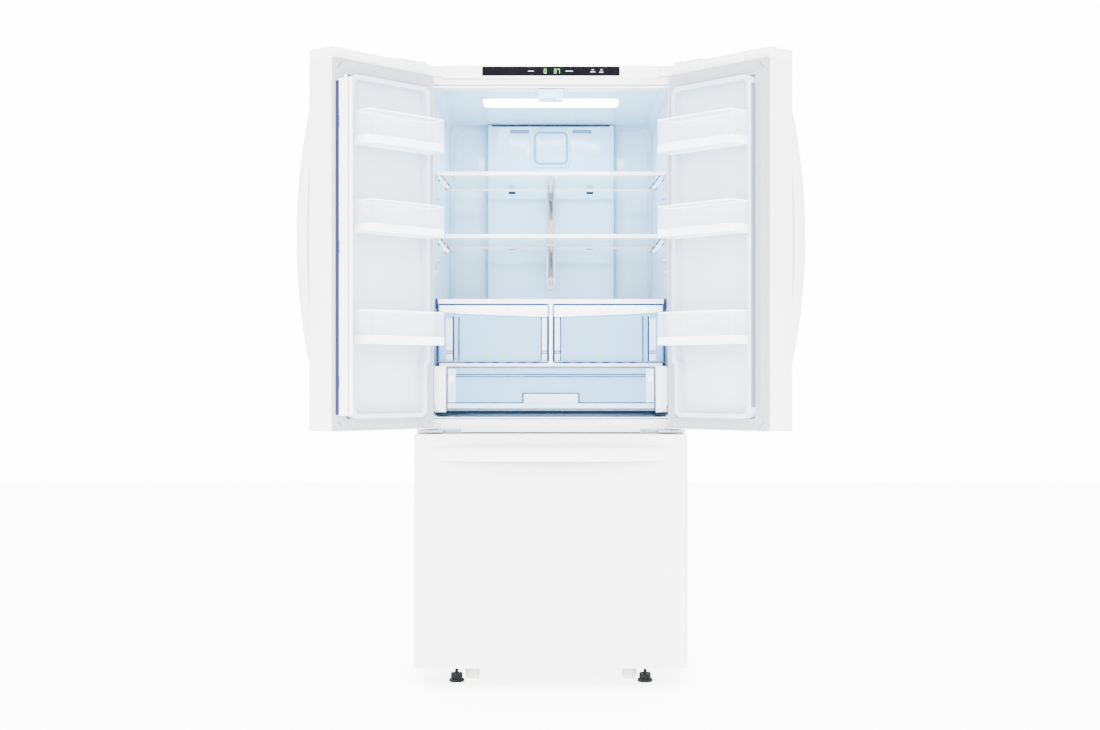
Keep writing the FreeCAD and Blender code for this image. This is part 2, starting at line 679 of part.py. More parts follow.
def crisper(label, mirror):
    front, rear = FRONT + " + shelf_front + 1", FRONT + " + shelf_front + crisper_length"
    wall = "tub_wall"
    outside = wedge(
        (front, rear), ("-crisper_front_half", "-crisper_inner"),
        ("-crisper_rear_half", "-crisper_inner"),
        ("crisper_low", "crisper_high"), ("crisper_low", "crisper_high"),
    )
    inside = wedge(
        (f"{front} + {wall}", f"{rear} - {wall}"),
        (f"-crisper_front_half + {wall}", f"-crisper_inner - {wall}"),
        (f"-crisper_rear_half + {wall}", f"-crisper_inner - {wall}"),
        (f"crisper_low + {wall}", "crisper_high + 1"), (f"crisper_low + {wall}", "crisper_high + 1"),
    )
    bin_shape = cut(outside, inside)
    sub_part(label, mirrored(bin_shape) if mirror else bin_shape)


def open_tub(half, depth, low, high, wall):
    """A plain open-topped drawer."""
    outside = box((f"-{half}", half), depth, (low, high))
    inside = box((f"-({half} - {wall})", f"{half} - {wall}"),
                 (f"{depth[0]} + {wall}", f"{depth[1]} - {wall}"), (f"{low} + {wall}", f"{high} + 1"))
    return cut(rounded(outside, "6", "z"), inside)


def pantry_drawer():
    front = FRONT + " + pantry_front"
    body = open_tub("pantry_half", (front, front + " + pantry_length"), "pantry_low",
                    "pantry_high", "tub_wall")
    sub_part("pantry_drawer", body)


# ---- freezer drawer ----

INNER_PLANE = "(case_front - door_gap)"
# front surface where the hinge side of a door, or the side of the drawer, begins
SIDE_FRONT = "(case_front - front_reach + front_radius - sqrt(front_radius^2 - door_side^2))"
CORNER_SHARE = 0.2929  # how far a round corner stays inside its square corner


def drawer_outline(inset, back):
    """The drawer front from above, shrunk by inset."""
    side = f"(drawer_half - {inset})"
    radius = f"(front_corner - {inset})"
    ahead = f"({SIDE_FRONT} + {inset})"
    pull_in = f"{CORNER_SHARE} * {radius}"
    return [
        (f"-{side}", back),
        (f"-{side}", f"{ahead} + {radius}"),
        (f"-{side} + {radius}", ahead, f"-{side} + {pull_in}", f"{ahead} + {pull_in}"),
        (f"{side} - {radius}", ahead, "0", f"case_front - front_reach + {inset}"),
        (side, f"{ahead} + {radius}", f"{side} - {pull_in}", f"{ahead} + {pull_in}"),
        (side, back),
    ]


def freezer_drawer_front():
    steel = "sheet_steel"
    outer = extruded("XY_Plane", drawer_outline("0", INNER_PLANE), "drawer_low", "drawer_high")
    hollow = extruded("XY_Plane", drawer_outline(steel, INNER_PLANE + " + 1"),
                      "drawer_low + sheet_steel", "drawer_high - sheet_steel")
    sub_part("freezer_drawer_skin", cut(outer, hollow))
    foam = extruded("XY_Plane", drawer_outline(steel, INNER_PLANE), "drawer_low + sheet_steel",
                    "drawer_high - sheet_steel")
    sub_part("freezer_drawer_core", foam)


def strip_frame(sides, heights, widths, depth):
    """Four strips that meet at the corners: left, right, bottom and top."""
    (left, right), (low, high) = sides, heights
    wide_left, wide_right, wide_low, wide_high = widths
    return group(
        box((left, f"({left}) + {wide_left}"), depth, heights),
        box((f"({right}) - {wide_right}", right), depth, heights),
        box((f"({left}) + {wide_left}", f"({right}) - {wide_right}"), depth,
            (low, f"({low}) + {wide_low}")),
        box((f"({left}) + {wide_left}", f"({right}) - {wide_right}"), depth,
            (f"({high}) - {wide_high}", high)),
    )


SEAL_DEPTH = (INNER_PLANE, "(case_front - running_gap)")


def freezer_drawer_gasket():
    strips = strip_frame(("-drawer_seal_half", "drawer_seal_half"),
                         ("drawer_seal_low", "drawer_seal_high"), ["seal_width"] * 4, SEAL_DEPTH)
    sub_part("freezer_drawer_gasket", strips)


def freezer_drawer_handle():
    """A bowed bar with a finger gap behind its middle."""
    front = "(case_front - front_reach)"
    end = f"({front} + front_radius - sqrt(front_radius^2 - pull_half^2))"
    grip = f"({front} + front_radius - sqrt(front_radius^2 - pull_grip_half^2))"
    outline = [
        ("pull_half", end, "0", f"{front} - pull_reach"),
        ("pull_grip_half", grip, "(pull_half + pull_grip_half) / 2",
         f"{front} + front_radius - sqrt(front_radius^2 - ((pull_half + pull_grip_half) / 2)^2)"),
        ("-pull_grip_half", grip, "0", f"{front} - pull_grip_depth"),
        ("-pull_half", end, "-(pull_half + pull_grip_half) / 2",
         f"{front} + front_radius - sqrt(front_radius^2 - ((pull_half + pull_grip_half) / 2)^2)"),
    ]
    sub_part("freezer_drawer_handle", extruded("XY_Plane", outline, "pull_low", "pull_high"))


def freezer_rails():
    """Channels on the freezer's side walls."""
    depth = (FRONT + " + 8", FRONT + " + slide_length + 8")
    outer = box(("-freezer_half", "-slide_inner"), depth, ("slide_low", "slide_high"))
    groove = box(("-(slide_outer + running_gap + 4)", "-slide_inner + 1"),
                 (FRONT, FRONT + " + slide_length + 20"), ("slide_low + 4", "slide_high - 4"))
    sub_part("freezer_rails", both_sides(cut(outer, groove)))


def drawer_rails():
    heights = ("slide_low + 4 + running_gap", "slide_high - 4 - running_gap")
    rail = box(("-(slide_outer + 3)", "-(slide_outer - 7)"),
               (INNER_PLANE, FRONT + " + slide_length"), heights)
    carrier = box(("-(slide_outer - 7)", "-basket_half"), (INNER_PLANE, FRONT + " + slide_length"),
                  (heights[0] + " + 4", heights[0] + " + 8"))
    sub_part("drawer_rails", both_sides(fuse(rail, carrier)))


def freezer_basket():
    front = FRONT + " + 4"
    body = open_tub("basket_half", (front, front + " + basket_length - 6"), "basket_low",
                    "basket_high", "tub_wall")
    sub_part("freezer_basket", body)


def freezer_tray():
    """A shallow tray that slides on the basket's side walls."""
    front = FRONT + " + tray_front"
    depth = (front, front + " + tray_length")
    body = open_tub("tray_half", depth, "tray_low", "tray_high", "tub_wall")
    sub_part("freezer_tray", body)


def evaporator():
    depth = (FRONT + " + evaporator_panel + 12", FRONT + " + freezer_high_depth - 14")
    heights = ("evaporator_low", "evaporator_high")
    plates = [box(("-evaporator_half", "evaporator_half"),
                  (f"{depth[0]} + fin_overhang", f"{depth[1]} - fin_overhang"),
                  ("evaporator_low + fin_overhang", "evaporator_high - fin_overhang"))]
    half_count = 10
    for fin in range(-half_count, half_count + 1):
        left = f"{fin} * evaporator_half / {half_count} - fin_thickness / 2"
        plates.append(box((left, left + " + fin_thickness"), depth, heights))
    sub_part("evaporator", fuse(*plates))


def evaporator_cover():
    front = FRONT + " + evaporator_panel"
    panel = box(("-(freezer_half - running_gap)", "freezer_half - running_gap"),
                (front, front + " + 3"),
                ("freezer_step + running_gap", "freezer_top - running_gap"))
    grille = []
    for row in range(4):
        height = f"fan_height - 30 + {row} * (louvre_height + 10)"
        grille.append(box(("-(fan_radius + 8)", "fan_radius + 8"), (front + " - 1", front + " + 4"),
                          (height, height + " + louvre_height")))
    motor = rod("motor_radius", "motor_depth", ("0", front + " + 3", "fan_height"), "y")
    shaft = rod("axle_radius", "shaft_length", ("0", front + " + 3 + motor_depth", "fan_height"), "y")
    sub_part("evaporator_cover", fuse(cut(panel, group(*grille)), motor, shaft))


def fan(label, radius, side, behind, height, blades, depth):
    """A bored hub with flat, pitched blades, turning about Y."""
    pieces = [rod("hub_radius", depth, (side, behind, height), "y")]
    pitch = FreeCAD.Rotation(FreeCAD.Vector(1, 0, 0), size("blade_pitch"))
    start = FreeCAD.Vector(size("blade_root"), 0, -size("blade_chord") / 2)
    for number in range(blades):
        blade = document.addObject("Part::Box", "Blade")
        bind(blade, Length=f"{radius} - blade_root", Width="blade_thickness", Height="blade_chord")
        turn = FreeCAD.Rotation(FreeCAD.Vector(0, 1, 0), 360 * number / blades)
        place = FreeCAD.Placement(FreeCAD.Vector(), pitch)
        place = place.multiply(FreeCAD.Placement(start, FreeCAD.Rotation()))
        hub_place = FreeCAD.Vector(size(side), size(behind) + size(depth) / 2, size(height))
        blade.Placement = FreeCAD.Placement(hub_place, turn).multiply(place)
        pieces.append(blade)
    bore = rod("axle_radius + pin_play", f"{depth} + 2", (side, f"{behind} - 1", height), "y")
    sub_part(label, cut(fuse(*pieces), bore))


# ---- machine room ----

def compressor():
    behind = FRONT + " + compressor_behind"
    floor = "case_bottom + base_plate"
    can = document.addObject("Part::Cylinder", "Can")
    bind(can, Radius="compressor_radius", Height="compressor_height",
         Placement__Base__x="compressor_side", Placement__Base__y=behind,
         Placement__Base__z=floor + " + can_lift")
    document.recompute()
    soft = document.addObject("Part::Fillet", "SoftCan")
    soft.Base = can
    rounding = size("can_rounding")
    soft.Edges = [(number, rounding, rounding)
                  for number, edge in enumerate(can.Shape.Edges, start=1) if edge.Closed]
    feet = []
    for x_step in (-1, 1):
        for y_step in (-1, 1):
            feet.append(rod("can_foot_radius", "can_foot_height",
                            (f"compressor_side + {x_step} * can_foot_spread",
                             f"{behind} + {y_step} * can_foot_spread", floor)))
    plate = box(("compressor_side - can_plate_half", "compressor_side + can_plate_half"),
                (behind + " - can_plate_half", behind + " + can_plate_half"),
                (floor + " + can_lift", floor + " + can_lift + can_plate_thickness"))
    sub_part("compressor", fuse(soft, plate, *feet))


def condenser():
    floor = "case_bottom + base_plate"
    behind = (FRONT + " + condenser_behind - condenser_depth / 2",
              FRONT + " + condenser_behind + condenser_depth / 2")
    left = "condenser_side - condenser_half_width"
    right = "condenser_side + condenser_half_width"
    plates = [box((left, right), (behind[0] + " + fin_overhang", behind[1] + " - fin_overhang"),
                  (floor + " + fin_overhang", floor + " + condenser_height - fin_overhang"))]
    fins = 12
    for fin in range(fins):
        height = f"{floor} + {fin} * (condenser_height - fin_thickness) / {fins - 1}"
        plates.append(box((left, right), behind, (height, height + " + fin_thickness")))
    coil = fuse(*plates)
    shaft = "(shaft_length + fin_overhang)"
    stand = fuse(
        box(("cooling_fan_side - stand_half", "cooling_fan_side + stand_half"),
            (behind[1] + " - stand_thickness", behind[1]),
            (floor, "cooling_fan_height + stand_half")),
        rod("axle_radius", shaft, ("cooling_fan_side", f"{behind[1]} - stand_thickness - {shaft}",
                                   "cooling_fan_height"), "y"),
    )
    sub_part("condenser", group(coil, stand))


# ---- feet and rollers ----

def leveling_leg(label, mirror):
    leg = turned([
        ("0", "stem_top"), ("0", "0"), ("pad_radius - 2", "0"), ("pad_radius", "2"),
        ("pad_radius", "pad_height"), ("collar_radius", "pad_height"),
        ("collar_radius", "collar_height"), ("stem_radius", "collar_height"),
        ("stem_radius", "stem_top"),
    ])
    bind(leg, Placement__Base__x="leg_side" if mirror else "-leg_side",
         Placement__Base__y=FRONT + " + leg_behind")
    sub_part(label, leg)


def roller(label, side, behind, centre):
    start = (f"{side} - roller_width / 2", behind, centre)
    wheel = rod("roller_radius", "roller_width", start, "x")
    bore = rod("axle_radius + pin_play", "roller_width", start, "x")
    sub_part(label, cut(wheel, bore))


# ---- doors, drawn closed and then swung open ----

HINGE_Y = "(case_front - hinge_ahead)"


def door_outline(inset, back, lip=False):
    """The left door from above, shrunk by inset; a lip leaves the skin's edge turned in."""
    side, edge = f"(door_side - {inset})", f"(door_edge + {inset})"
    radius, turn = f"(front_corner - {inset})", f"(hinge_corner - {inset})"
    centre_x, centre_y = "(door_side - hinge_corner)", f"({INNER_PLANE} - hinge_corner)"
    hinge_front = f"({SIDE_FRONT} + {inset})"
    edge_front = f"(case_front - front_reach + {inset})"
    pull_in, half_turn = f"{CORNER_SHARE} * {radius}", f"0.7071 * {turn}"
    return [
        (f"-{edge}", back),
        (f"-{centre_x}", back),
        *([(f"-{centre_x}", f"{centre_y} + {turn}")] if lip else []),
        (f"-{side}", centre_y, f"-{centre_x} - {half_turn}", f"{centre_y} + {half_turn}"),
        (f"-{side}", f"{hinge_front} + {radius}"),
        (f"-{side} + {radius}", hinge_front, f"-{side} + {pull_in}", f"{hinge_front} + {pull_in}"),
        (f"-{edge} - {radius}", edge_front, "-(door_side + door_edge) / 2",
         f"case_front - front_reach + {inset} + front_radius"
         " - sqrt(front_radius^2 - ((door_side + door_edge) / 2)^2)"),
        (f"-{edge}", f"{edge_front} + {radius}", f"-{edge} - {pull_in}",
         f"{edge_front} + {pull_in}"),
    ]


def swing(piece):
    """Turns a closed left-door piece about the hinge axis to where it stands open."""
    angle = FreeCAD.Rotation(FreeCAD.Vector(0, 0, 1), -size("door_opening"))
    axis = FreeCAD.Vector(-size("hinge_side"), size(HINGE_Y), 0)
    piece.Placement = FreeCAD.Placement(FreeCAD.Vector(), angle, axis)
    return piece


def door_pair(name, shape):
    """The same piece on both doors."""
    swing(shape)
    sub_part("left_door_" + name, shape)
    sub_part("right_door_" + name, mirrored(shape))


SHELL_LOW, SHELL_HIGH = "door_bottom + bottom_cap", "door_top - top_cap"


def door_skin():
    outer = extruded("XY_Plane", door_outline("0", INNER_PLANE), SHELL_LOW, SHELL_HIGH)
    hollow = extruded("XY_Plane", door_outline("sheet_steel", INNER_PLANE + " + 1", lip=True),
                      SHELL_LOW + " - 1", SHELL_HIGH + " + 1")
    door_pair("skin", cut(outer, hollow))


def door_core():
    outline = door_outline("sheet_steel", f"({INNER_PLANE} - liner_wall)", lip=True)
    door_pair("core", extruded("XY_Plane", outline, SHELL_LOW, SHELL_HIGH))


def door_caps():
    outline = door_outline("0", INNER_PLANE)
    top = extruded("XY_Plane", outline, SHELL_HIGH, "door_top")
    block = rounded(box(
        ("-cap_block_far", "-cap_block_near"),
        ("case_front - cap_block_back - cap_block_depth", "case_front - cap_block_back"),
        ("door_top", "door_top + cap_block_rise")), "5", "z")
    bottom = extruded("XY_Plane", outline, "door_bottom", SHELL_LOW)
    hole = rod("pin_radius + pin_play", "door_top - door_bottom + 2",
               ("-hinge_side", HINGE_Y, "door_bottom - 1"))
    door_pair("caps", group(cut(fuse(top, block), hole), cut(bottom, hole)))


def door_rim():
    """The raised rim on the door's inside, narrower where it passes the lower drawer's rail."""
    depth = (INNER_PLANE, INNER_PLANE + " + rim_height")
    recess_depth = (INNER_PLANE + " + rim_floor", depth[1] + " + 1")
    blocks, recesses = [], []
    for side, low in (("-rim_side", "rim_step_top"), ("-rim_side + rim_step_in", "rim_bottom")):
        block = box((side, "-rim_free"), depth, (low, "rim_top"))
        blocks.append(rounded(block, "rim_corner", "y"))
        recess = box((side + " + rim_width", "-rim_free - rim_width"), recess_depth,
                     (low + " + rim_width", "rim_top - rim_width"))
        recesses.append(rounded(recess, "rim_corner - 6", "y"))
    return cut(fuse(*blocks), fuse(*recesses))


def knuckles():
    """Three bored barrels on the left door that the folding bar's pins turn in."""
    pivot = ("-pivot_side", FRONT + " + pivot_behind")
    barrels = []
    for height in ("knuckle_1", "knuckle_2", "knuckle_3"):
        low, length = f"{height} - knuckle_half", "2 * knuckle_half"
        barrel = rod("knuckle_radius", length, (*pivot, low))
        link_plate = box(("-rim_free - 4", "-pivot_side"),
                         (FRONT + " + 2", FRONT + " + pivot_behind + 5"),
                         (low, f"{height} + knuckle_half"))
        bore = rod("bar_pin + pin_play", length, (*pivot, low))
        barrels.append(cut(fuse(barrel, link_plate), bore))
    return swing(group(*barrels))


def door_liner():
    plate = box(("-(door_side - hinge_corner)", "-(door_edge + sheet_steel)"),
                (INNER_PLANE + " - liner_wall", INNER_PLANE), (SHELL_LOW, SHELL_HIGH))
    liner = swing(fuse(plate, door_rim()))
    sub_part("left_door_liner", fuse(liner, knuckles()))
    sub_part("right_door_liner", mirrored(liner))


def door_gasket():
    widths = ["seal_side - rim_side - 1", "rim_free - seal_free - 1",
              "rim_bottom - seal_bottom - 1", "seal_top - rim_top - 1"]
    strips = strip_frame(("-seal_side", "-seal_free"), ("seal_bottom", "seal_top"),
                         [f"({width})" for width in widths], SEAL_DEPTH)
    door_pair("gasket", strips)


def door_handle():
    """A bowed bar along the free edge with a finger gap behind its middle."""
    front = "(case_front - front_reach)"
    middle = "(handle_low + handle_high) / 2"
    outline = [
        (front, "handle_high", f"{front} - handle_reach", middle),
        (front, "grip_high"),
        (front, "grip_low", f"{front} - grip_depth", middle),
        (front, "handle_low"),
    ]
    door_pair("handle", extruded("YZ_Plane", outline, "-handle_far", "-handle_near"))


def door_bins():
    """Three open bins that sit between the sides of the rim and reach out over it."""
    reach, over_rim = INNER_PLANE + " + bin_reach", INNER_PLANE + " + rim_height + 1"
    back = INNER_PLANE + " + bin_back"
    bins = []
    for number in (1, 2, 3):
        low, high = f"bin_low_{number}", f"bin_high_{number}"
        front_part = rounded(box(("-bin_side", "-bin_free"), (over_rim, reach), (low, high)),
                             "3", "z")
        back_part = box(("-bin_tab_side", "-bin_tab_free"), (back, over_rim + " + 3"), (low, high))
        wall, top = "bin_wall", high + " + 1"
        hollow = fuse(
            box(("-bin_side + bin_wall", "-bin_free - bin_wall"),
                (f"{over_rim} + {wall}", f"{reach} - {wall}"), (f"{low} + {wall}", top)),
            box(("-bin_tab_side + bin_wall", "-bin_tab_free - bin_wall"),
                (f"{back} + {wall}", f"{over_rim} + 2 * {wall}"), (f"{low} + {wall}", top)),
        )
        bins.append(cut(fuse(front_part, back_part), hollow))
    door_pair("bins", group(*bins))


def mullion_bar():
    """The folding bar, drawn folded; it turns on pins in the left door's knuckles."""
    near = "(pivot_side - pivot_behind)"
    far = f"({near} + bar_thickness)"
    pivot_y = FRONT + " + pivot_behind"
    outline = [
        (f"-{near}", FRONT + " + bar_width"),
        (f"-{far}", FRONT + " + bar_width"),
        (f"-{far}", FRONT),
        ("-pivot_side", FRONT),
        (f"-{near}", pivot_y, "-pivot_side + 0.7071 * pivot_behind",
         f"{pivot_y} - 0.7071 * pivot_behind"),
    ]
    bar = extruded("XY_Plane", outline, "bar_low", "bar_high")
    notches, pins = [], []
    for height in ("knuckle_1", "knuckle_2", "knuckle_3"):
        room = f"{height} - knuckle_half - 1"
        notches.append(rod("knuckle_radius + 4", "2 * knuckle_half + 2",
                           ("-pivot_side", pivot_y, room)))
        pins.append(rod("bar_pin", "2 * knuckle_half + 30",
                        ("-pivot_side", pivot_y, f"{height} - knuckle_half - 15")))
    cam = rod("cam_radius", "cam_height + 2",
              (f"-{near} - bar_thickness / 2", FRONT + " + cam_along", "bar_high - 2"))
    sub_part("mullion_bar", swing(fuse(cut(bar, group(*notches)), cam, *pins)))


def build():
    cabinet_wrapper()
    cabinet_back()
    base_frame()
    insulation()
    fridge_liner()
    freezer_liner()
    center_rail()
    top_trim()
    control_display()
    hinge_covers()
    hinge_brackets()
    duct_cover()
    air_filter_cover()
    ceiling_lamp()
    mullion_guide()
    shelf_track()
    shelf_brackets()
    shelf_glass()
    shelf_frames()
    crisper_cover()
    crisper_frame()
    freezer_rails()
    machine_room_cover()
    compressor()
    condenser()
    evaporator()
    evaporator_cover()
    fan("condenser_fan", "cooling_fan_radius", "cooling_fan_side",
        "(case_front + condenser_behind + condenser_depth / 2 - 48)", "cooling_fan_height", 5, "24")
    fan("evaporator_fan", "fan_radius", "0", "(case_front + fan_behind - 16)", "fan_height", 7, "14")
    leveling_leg("leveling_leg_left", mirror=False)
    leveling_leg("leveling_leg_right", mirror=True)
    roller("front_roller_left", "-roller_side", FRONT_ROLLER, FRONT_AXLE)
    roller("front_roller_right", "roller_side", FRONT_ROLLER, FRONT_AXLE)
    roller("rear_roller_left", "-rear_roller_side", REAR_ROLLER, REAR_AXLE)
    roller("rear_roller_right", "rear_roller_side", REAR_ROLLER, REAR_AXLE)
    crisper("left_crisper", mirror=False)
    crisper("right_crisper", mirror=True)
    pantry_drawer()
    door_skin()
    door_core()
    door_caps()
    door_liner()
    door_gasket()
    door_handle()
    door_bins()
    mullion_bar()
    freezer_drawer_front()
    freezer_drawer_gasket()
    freezer_drawer_handle()
    drawer_rails()
    freezer_basket()
    freezer_tray()


def check_and_export():
    """Stops at any failed object or bad shape, then writes one file per sub-part."""
    document.recompute()
    for thing in document.Objects:
        if {"Invalid", "Error"} & set(thing.State):
            raise RuntimeError(f"{thing.Name} of {thing.Label} failed: {thing.State}")
    for piece in sub_parts:
        if piece.Shape.isNull() or not piece.Shape.isValid() or not piece.Shape.Solids:
            raise RuntimeError(f"{piece.Label} has no valid shape")
    os.makedirs("parts", exist_ok=True)
    for piece in sub_parts:
        piece.Shape.exportStep(os.path.join("parts", piece.Label + ".step"))
    whole = Part.makeCompound([piece.Shape for piece in sub_parts]).BoundBox
    print(len(sub_parts), "sub-parts; X", whole.XMin, whole.XMax, "Y", whole.YMin, whole.YMax,
          "Z", whole.ZMin, whole.ZMax)


build()
check_and_export()
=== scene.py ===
import json
import math
import bmesh
import bpy
from mathutils import Matrix, Vector


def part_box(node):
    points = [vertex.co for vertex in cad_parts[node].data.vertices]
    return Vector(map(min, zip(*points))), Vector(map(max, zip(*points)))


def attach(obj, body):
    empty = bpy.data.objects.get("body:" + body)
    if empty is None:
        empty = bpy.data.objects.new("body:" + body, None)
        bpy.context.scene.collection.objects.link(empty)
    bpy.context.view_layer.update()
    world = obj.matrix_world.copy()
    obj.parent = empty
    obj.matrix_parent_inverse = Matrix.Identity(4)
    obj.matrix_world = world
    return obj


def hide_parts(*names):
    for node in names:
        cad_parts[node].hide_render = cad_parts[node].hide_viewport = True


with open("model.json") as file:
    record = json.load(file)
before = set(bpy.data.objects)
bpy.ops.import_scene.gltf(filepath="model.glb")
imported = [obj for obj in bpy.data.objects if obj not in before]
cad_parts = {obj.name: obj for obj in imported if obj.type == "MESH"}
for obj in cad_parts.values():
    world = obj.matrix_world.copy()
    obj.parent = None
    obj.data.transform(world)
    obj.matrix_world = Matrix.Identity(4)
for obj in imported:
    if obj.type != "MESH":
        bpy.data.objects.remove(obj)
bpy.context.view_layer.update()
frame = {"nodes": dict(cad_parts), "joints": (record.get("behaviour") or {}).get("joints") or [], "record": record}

nodes = frame["nodes"]


# ---- shader helpers ----

class Value:
    """A shader output that can be used in sums."""

    def __init__(self, finish, socket):
        self.finish = finish
        self.socket = socket

    def work(self, operation, *values, **settings):
        return self.finish.node("ShaderNodeMath", *values, operation=operation, **settings)

    def __add__(self, other):
        return self.work("ADD", self, other)

    def __sub__(self, other):
        return self.work("SUBTRACT", self, other)

    def __rsub__(self, other):
        return self.work("SUBTRACT", other, self)

    def __mul__(self, other):
        return self.work("MULTIPLY", self, other)

    def __truediv__(self, other):
        return self.work("DIVIDE", self, other)

    def __pow__(self, other):
        return self.work("POWER", self, other)

    def ramp(self, start, end):
        """0 before the start, 1 after the end, and a soft climb between them."""
        share = ((self - start) / (end - start)).clipped()
        return share * share * (3.0 - share * 2.0)

    def clipped(self):
        return self.work("MULTIPLY", self, 1.0, use_clamp=True)

    __radd__ = __add__
    __rmul__ = __mul__


class Nodes:
    """Adds linked nodes to one node tree."""

    def __init__(self, tree):
        self.tree = tree

    def node(self, kind, *values, output=0, **settings):
        made = self.tree.nodes.new(kind)
        for setting, value in settings.items():
            setattr(made, setting, value)
        for socket, value in zip(made.inputs, values):
            self.feed(socket, value)
        return Value(self, made.outputs[output])

    def feed(self, socket, value):
        if isinstance(value, Value):
            self.tree.links.new(value.socket, socket)
        elif value is not None:
            socket.default_value = value


class Finish(Nodes):
    """A material: constants go on the shader's own sockets, patterns drive the rest."""

    def __init__(self, name, **constants):
        self.material = bpy.data.materials.new(name)
        self.material.use_nodes = True
        super().__init__(self.material.node_tree)
        self.shader = self.tree.nodes["Principled BSDF"]
        for socket, value in constants.items():
            self.shader.inputs[socket.replace("_", " ")].default_value = value

    def drive(self, **values):
        for socket, value in values.items():
            self.feed(self.shader.inputs[socket.replace("_", " ")], value)
        return self

    def place(self, x=1.0, y=1.0, z=1.0):
        """Object coordinates, stretched."""
        here = self.node("ShaderNodeTexCoord", output="Object")
        return self.node("ShaderNodeVectorMath", here, (x, y, z), operation="MULTIPLY")

    def noise(self, place, scale, detail=3.0, rough=0.5):
        made = self.tree.nodes.new("ShaderNodeTexNoise")
        for socket, value in (("Vector", place), ("Scale", scale), ("Detail", detail),
                              ("Roughness", rough)):
            self.feed(made.inputs[socket], value)
        return Value(self, made.outputs["Fac"])

    def cells(self, place, scale, output="Distance"):
        made = self.tree.nodes.new("ShaderNodeTexVoronoi")
        for socket, value in (("Vector", place), ("Scale", scale)):
            self.feed(made.inputs[socket], value)
        return Value(self, made.outputs[output])

    def between(self, share, first, second):
        made = self.tree.nodes.new("ShaderNodeMix")
        made.data_type = "RGBA"
        self.feed(made.inputs["Factor"], share)
        for socket, colour in (("A", first), ("B", second)):
            colours = [one for one in made.inputs if one.name == socket and one.type == "RGBA"]
            self.feed(colours[0], (*colour, 1.0))
        colours = [one for one in made.outputs if one.type == "RGBA"]
        return Value(self, colours[0])

    def bump(self, height, depth, strength=1.0):
        made = self.tree.nodes.new("ShaderNodeBump")
        for socket, value in (("Strength", strength), ("Distance", depth), ("Height", height)):
            self.feed(made.inputs[socket], value)
        self.feed(self.shader.inputs["Normal"], Value(self, made.outputs["Normal"]))
        return self

    def edge_on(self, blend):
        """How far the surface is turned away: 0 seen squarely, 1 seen along it."""
        return self.node("ShaderNodeLayerWeight", blend, output="Facing")


# ---- finishes ----

def brushed_white(name, low, high):
    """A satin white coat over steel with long fine level lines pressed in it."""
    made = Finish(name, Coat_Weight=0.2, Coat_Roughness=0.22)
    lines = made.noise(made.place(2, 2, 700), 1, 4)
    cloud = made.noise(made.place(), 2.2)
    share = (lines * 0.7 + cloud * 0.3 - 0.3) * 2.2
    made.drive(Base_Color=made.between(share.clipped(), low, high), Roughness=lines * 0.2 + 0.27)
    return made.bump(lines, 0.00022, 0.55)


def moulded(name, low, high, roughness, grain=900, depth=0.00004, **constants):
    """Moulded plastic: fine grain, faint flow marks and slightly uneven gloss."""
    made = Finish(name, **constants)
    flow = made.noise(made.place(1, 1, 0.5), 7, 2)
    speckle = made.noise(made.place(), grain, 2)
    made.drive(Base_Color=made.between(flow, low, high),
               Roughness=flow * 0.08 + speckle * 0.05 + roughness - 0.06)
    return made.bump(speckle + flow, depth, 0.6)


def shadow(name, low, high, roughness, shine):
    """A dark or tinted line that hardly shines: painted shade and shadow for gaps, seams and moulded edges."""
    return moulded(name, low, high, roughness, Specular_IOR_Level=shine)


def see_through(name, clear, edge, least, most, roughness=0.07):
    """Clear moulding that looks denser where it is seen edge-on."""
    made = Finish(name, IOR=1.49)
    turned = made.edge_on(0.42)
    flow = made.noise(made.place(1, 1, 0.3), 14, 2)
    dense = (turned ** 1.6 * (most - least) + least + (flow - 0.5) * 0.08).clipped()
    made.drive(Base_Color=made.between(turned ** 1.3, clear, edge), Alpha=dense,
               Roughness=flow * 0.08 + roughness)
    return made.bump(flow, 0.0003, 0.35)


def metal(name, low, high, roughness, across=(400, 8, 8), depth=0.00005):
    """Plated steel or aluminium with drawn lines."""
    made = Finish(name, Metallic=1.0)
    lines = made.noise(made.place(*across), 1, 4)
    cloud = made.noise(made.place(), 25)
    made.drive(Base_Color=made.between(cloud, low, high), Roughness=lines * 0.2 + roughness - 0.1)
    return made.bump(lines, depth, 0.5)


def zinc():
    """Hot-dipped zinc with its faint crystal flowers."""
    made = Finish("zinc", Metallic=0.85)
    flowers = made.cells(made.place(1, 1, 1), 70, "Color")
    grey = made.node("ShaderNodeRGBToBW", flowers)
    made.drive(Base_Color=made.between(grey, (0.50, 0.51, 0.52), (0.66, 0.67, 0.68)),
               Roughness=grey * 0.2 + 0.36)
    return made.bump(made.noise(made.place(), 160), 0.00012, 0.4)


def foam():
    made = Finish("foam", Roughness=0.9)
    pores = made.cells(made.place(), 240)
    cloud = made.noise(made.place(), 9)
    made.drive(Base_Color=made.between(cloud, (0.80, 0.72, 0.50), (0.90, 0.84, 0.64)))
    return made.bump(pores, 0.0006, 0.7)


def rubber():
    """The grey seal: soft, with fine lengthways lines."""
    made = Finish("seal_rubber", Sheen_Weight=0.15)
    dust = made.noise(made.place(), 60)
    lines = made.noise(made.place(60, 60, 60), 5, 2)
    made.drive(Base_Color=made.between(dust, (0.25, 0.25, 0.285), (0.30, 0.30, 0.335)),
               Roughness=lines * 0.15 + 0.5)
    return made.bump(lines, 0.0001, 0.5)


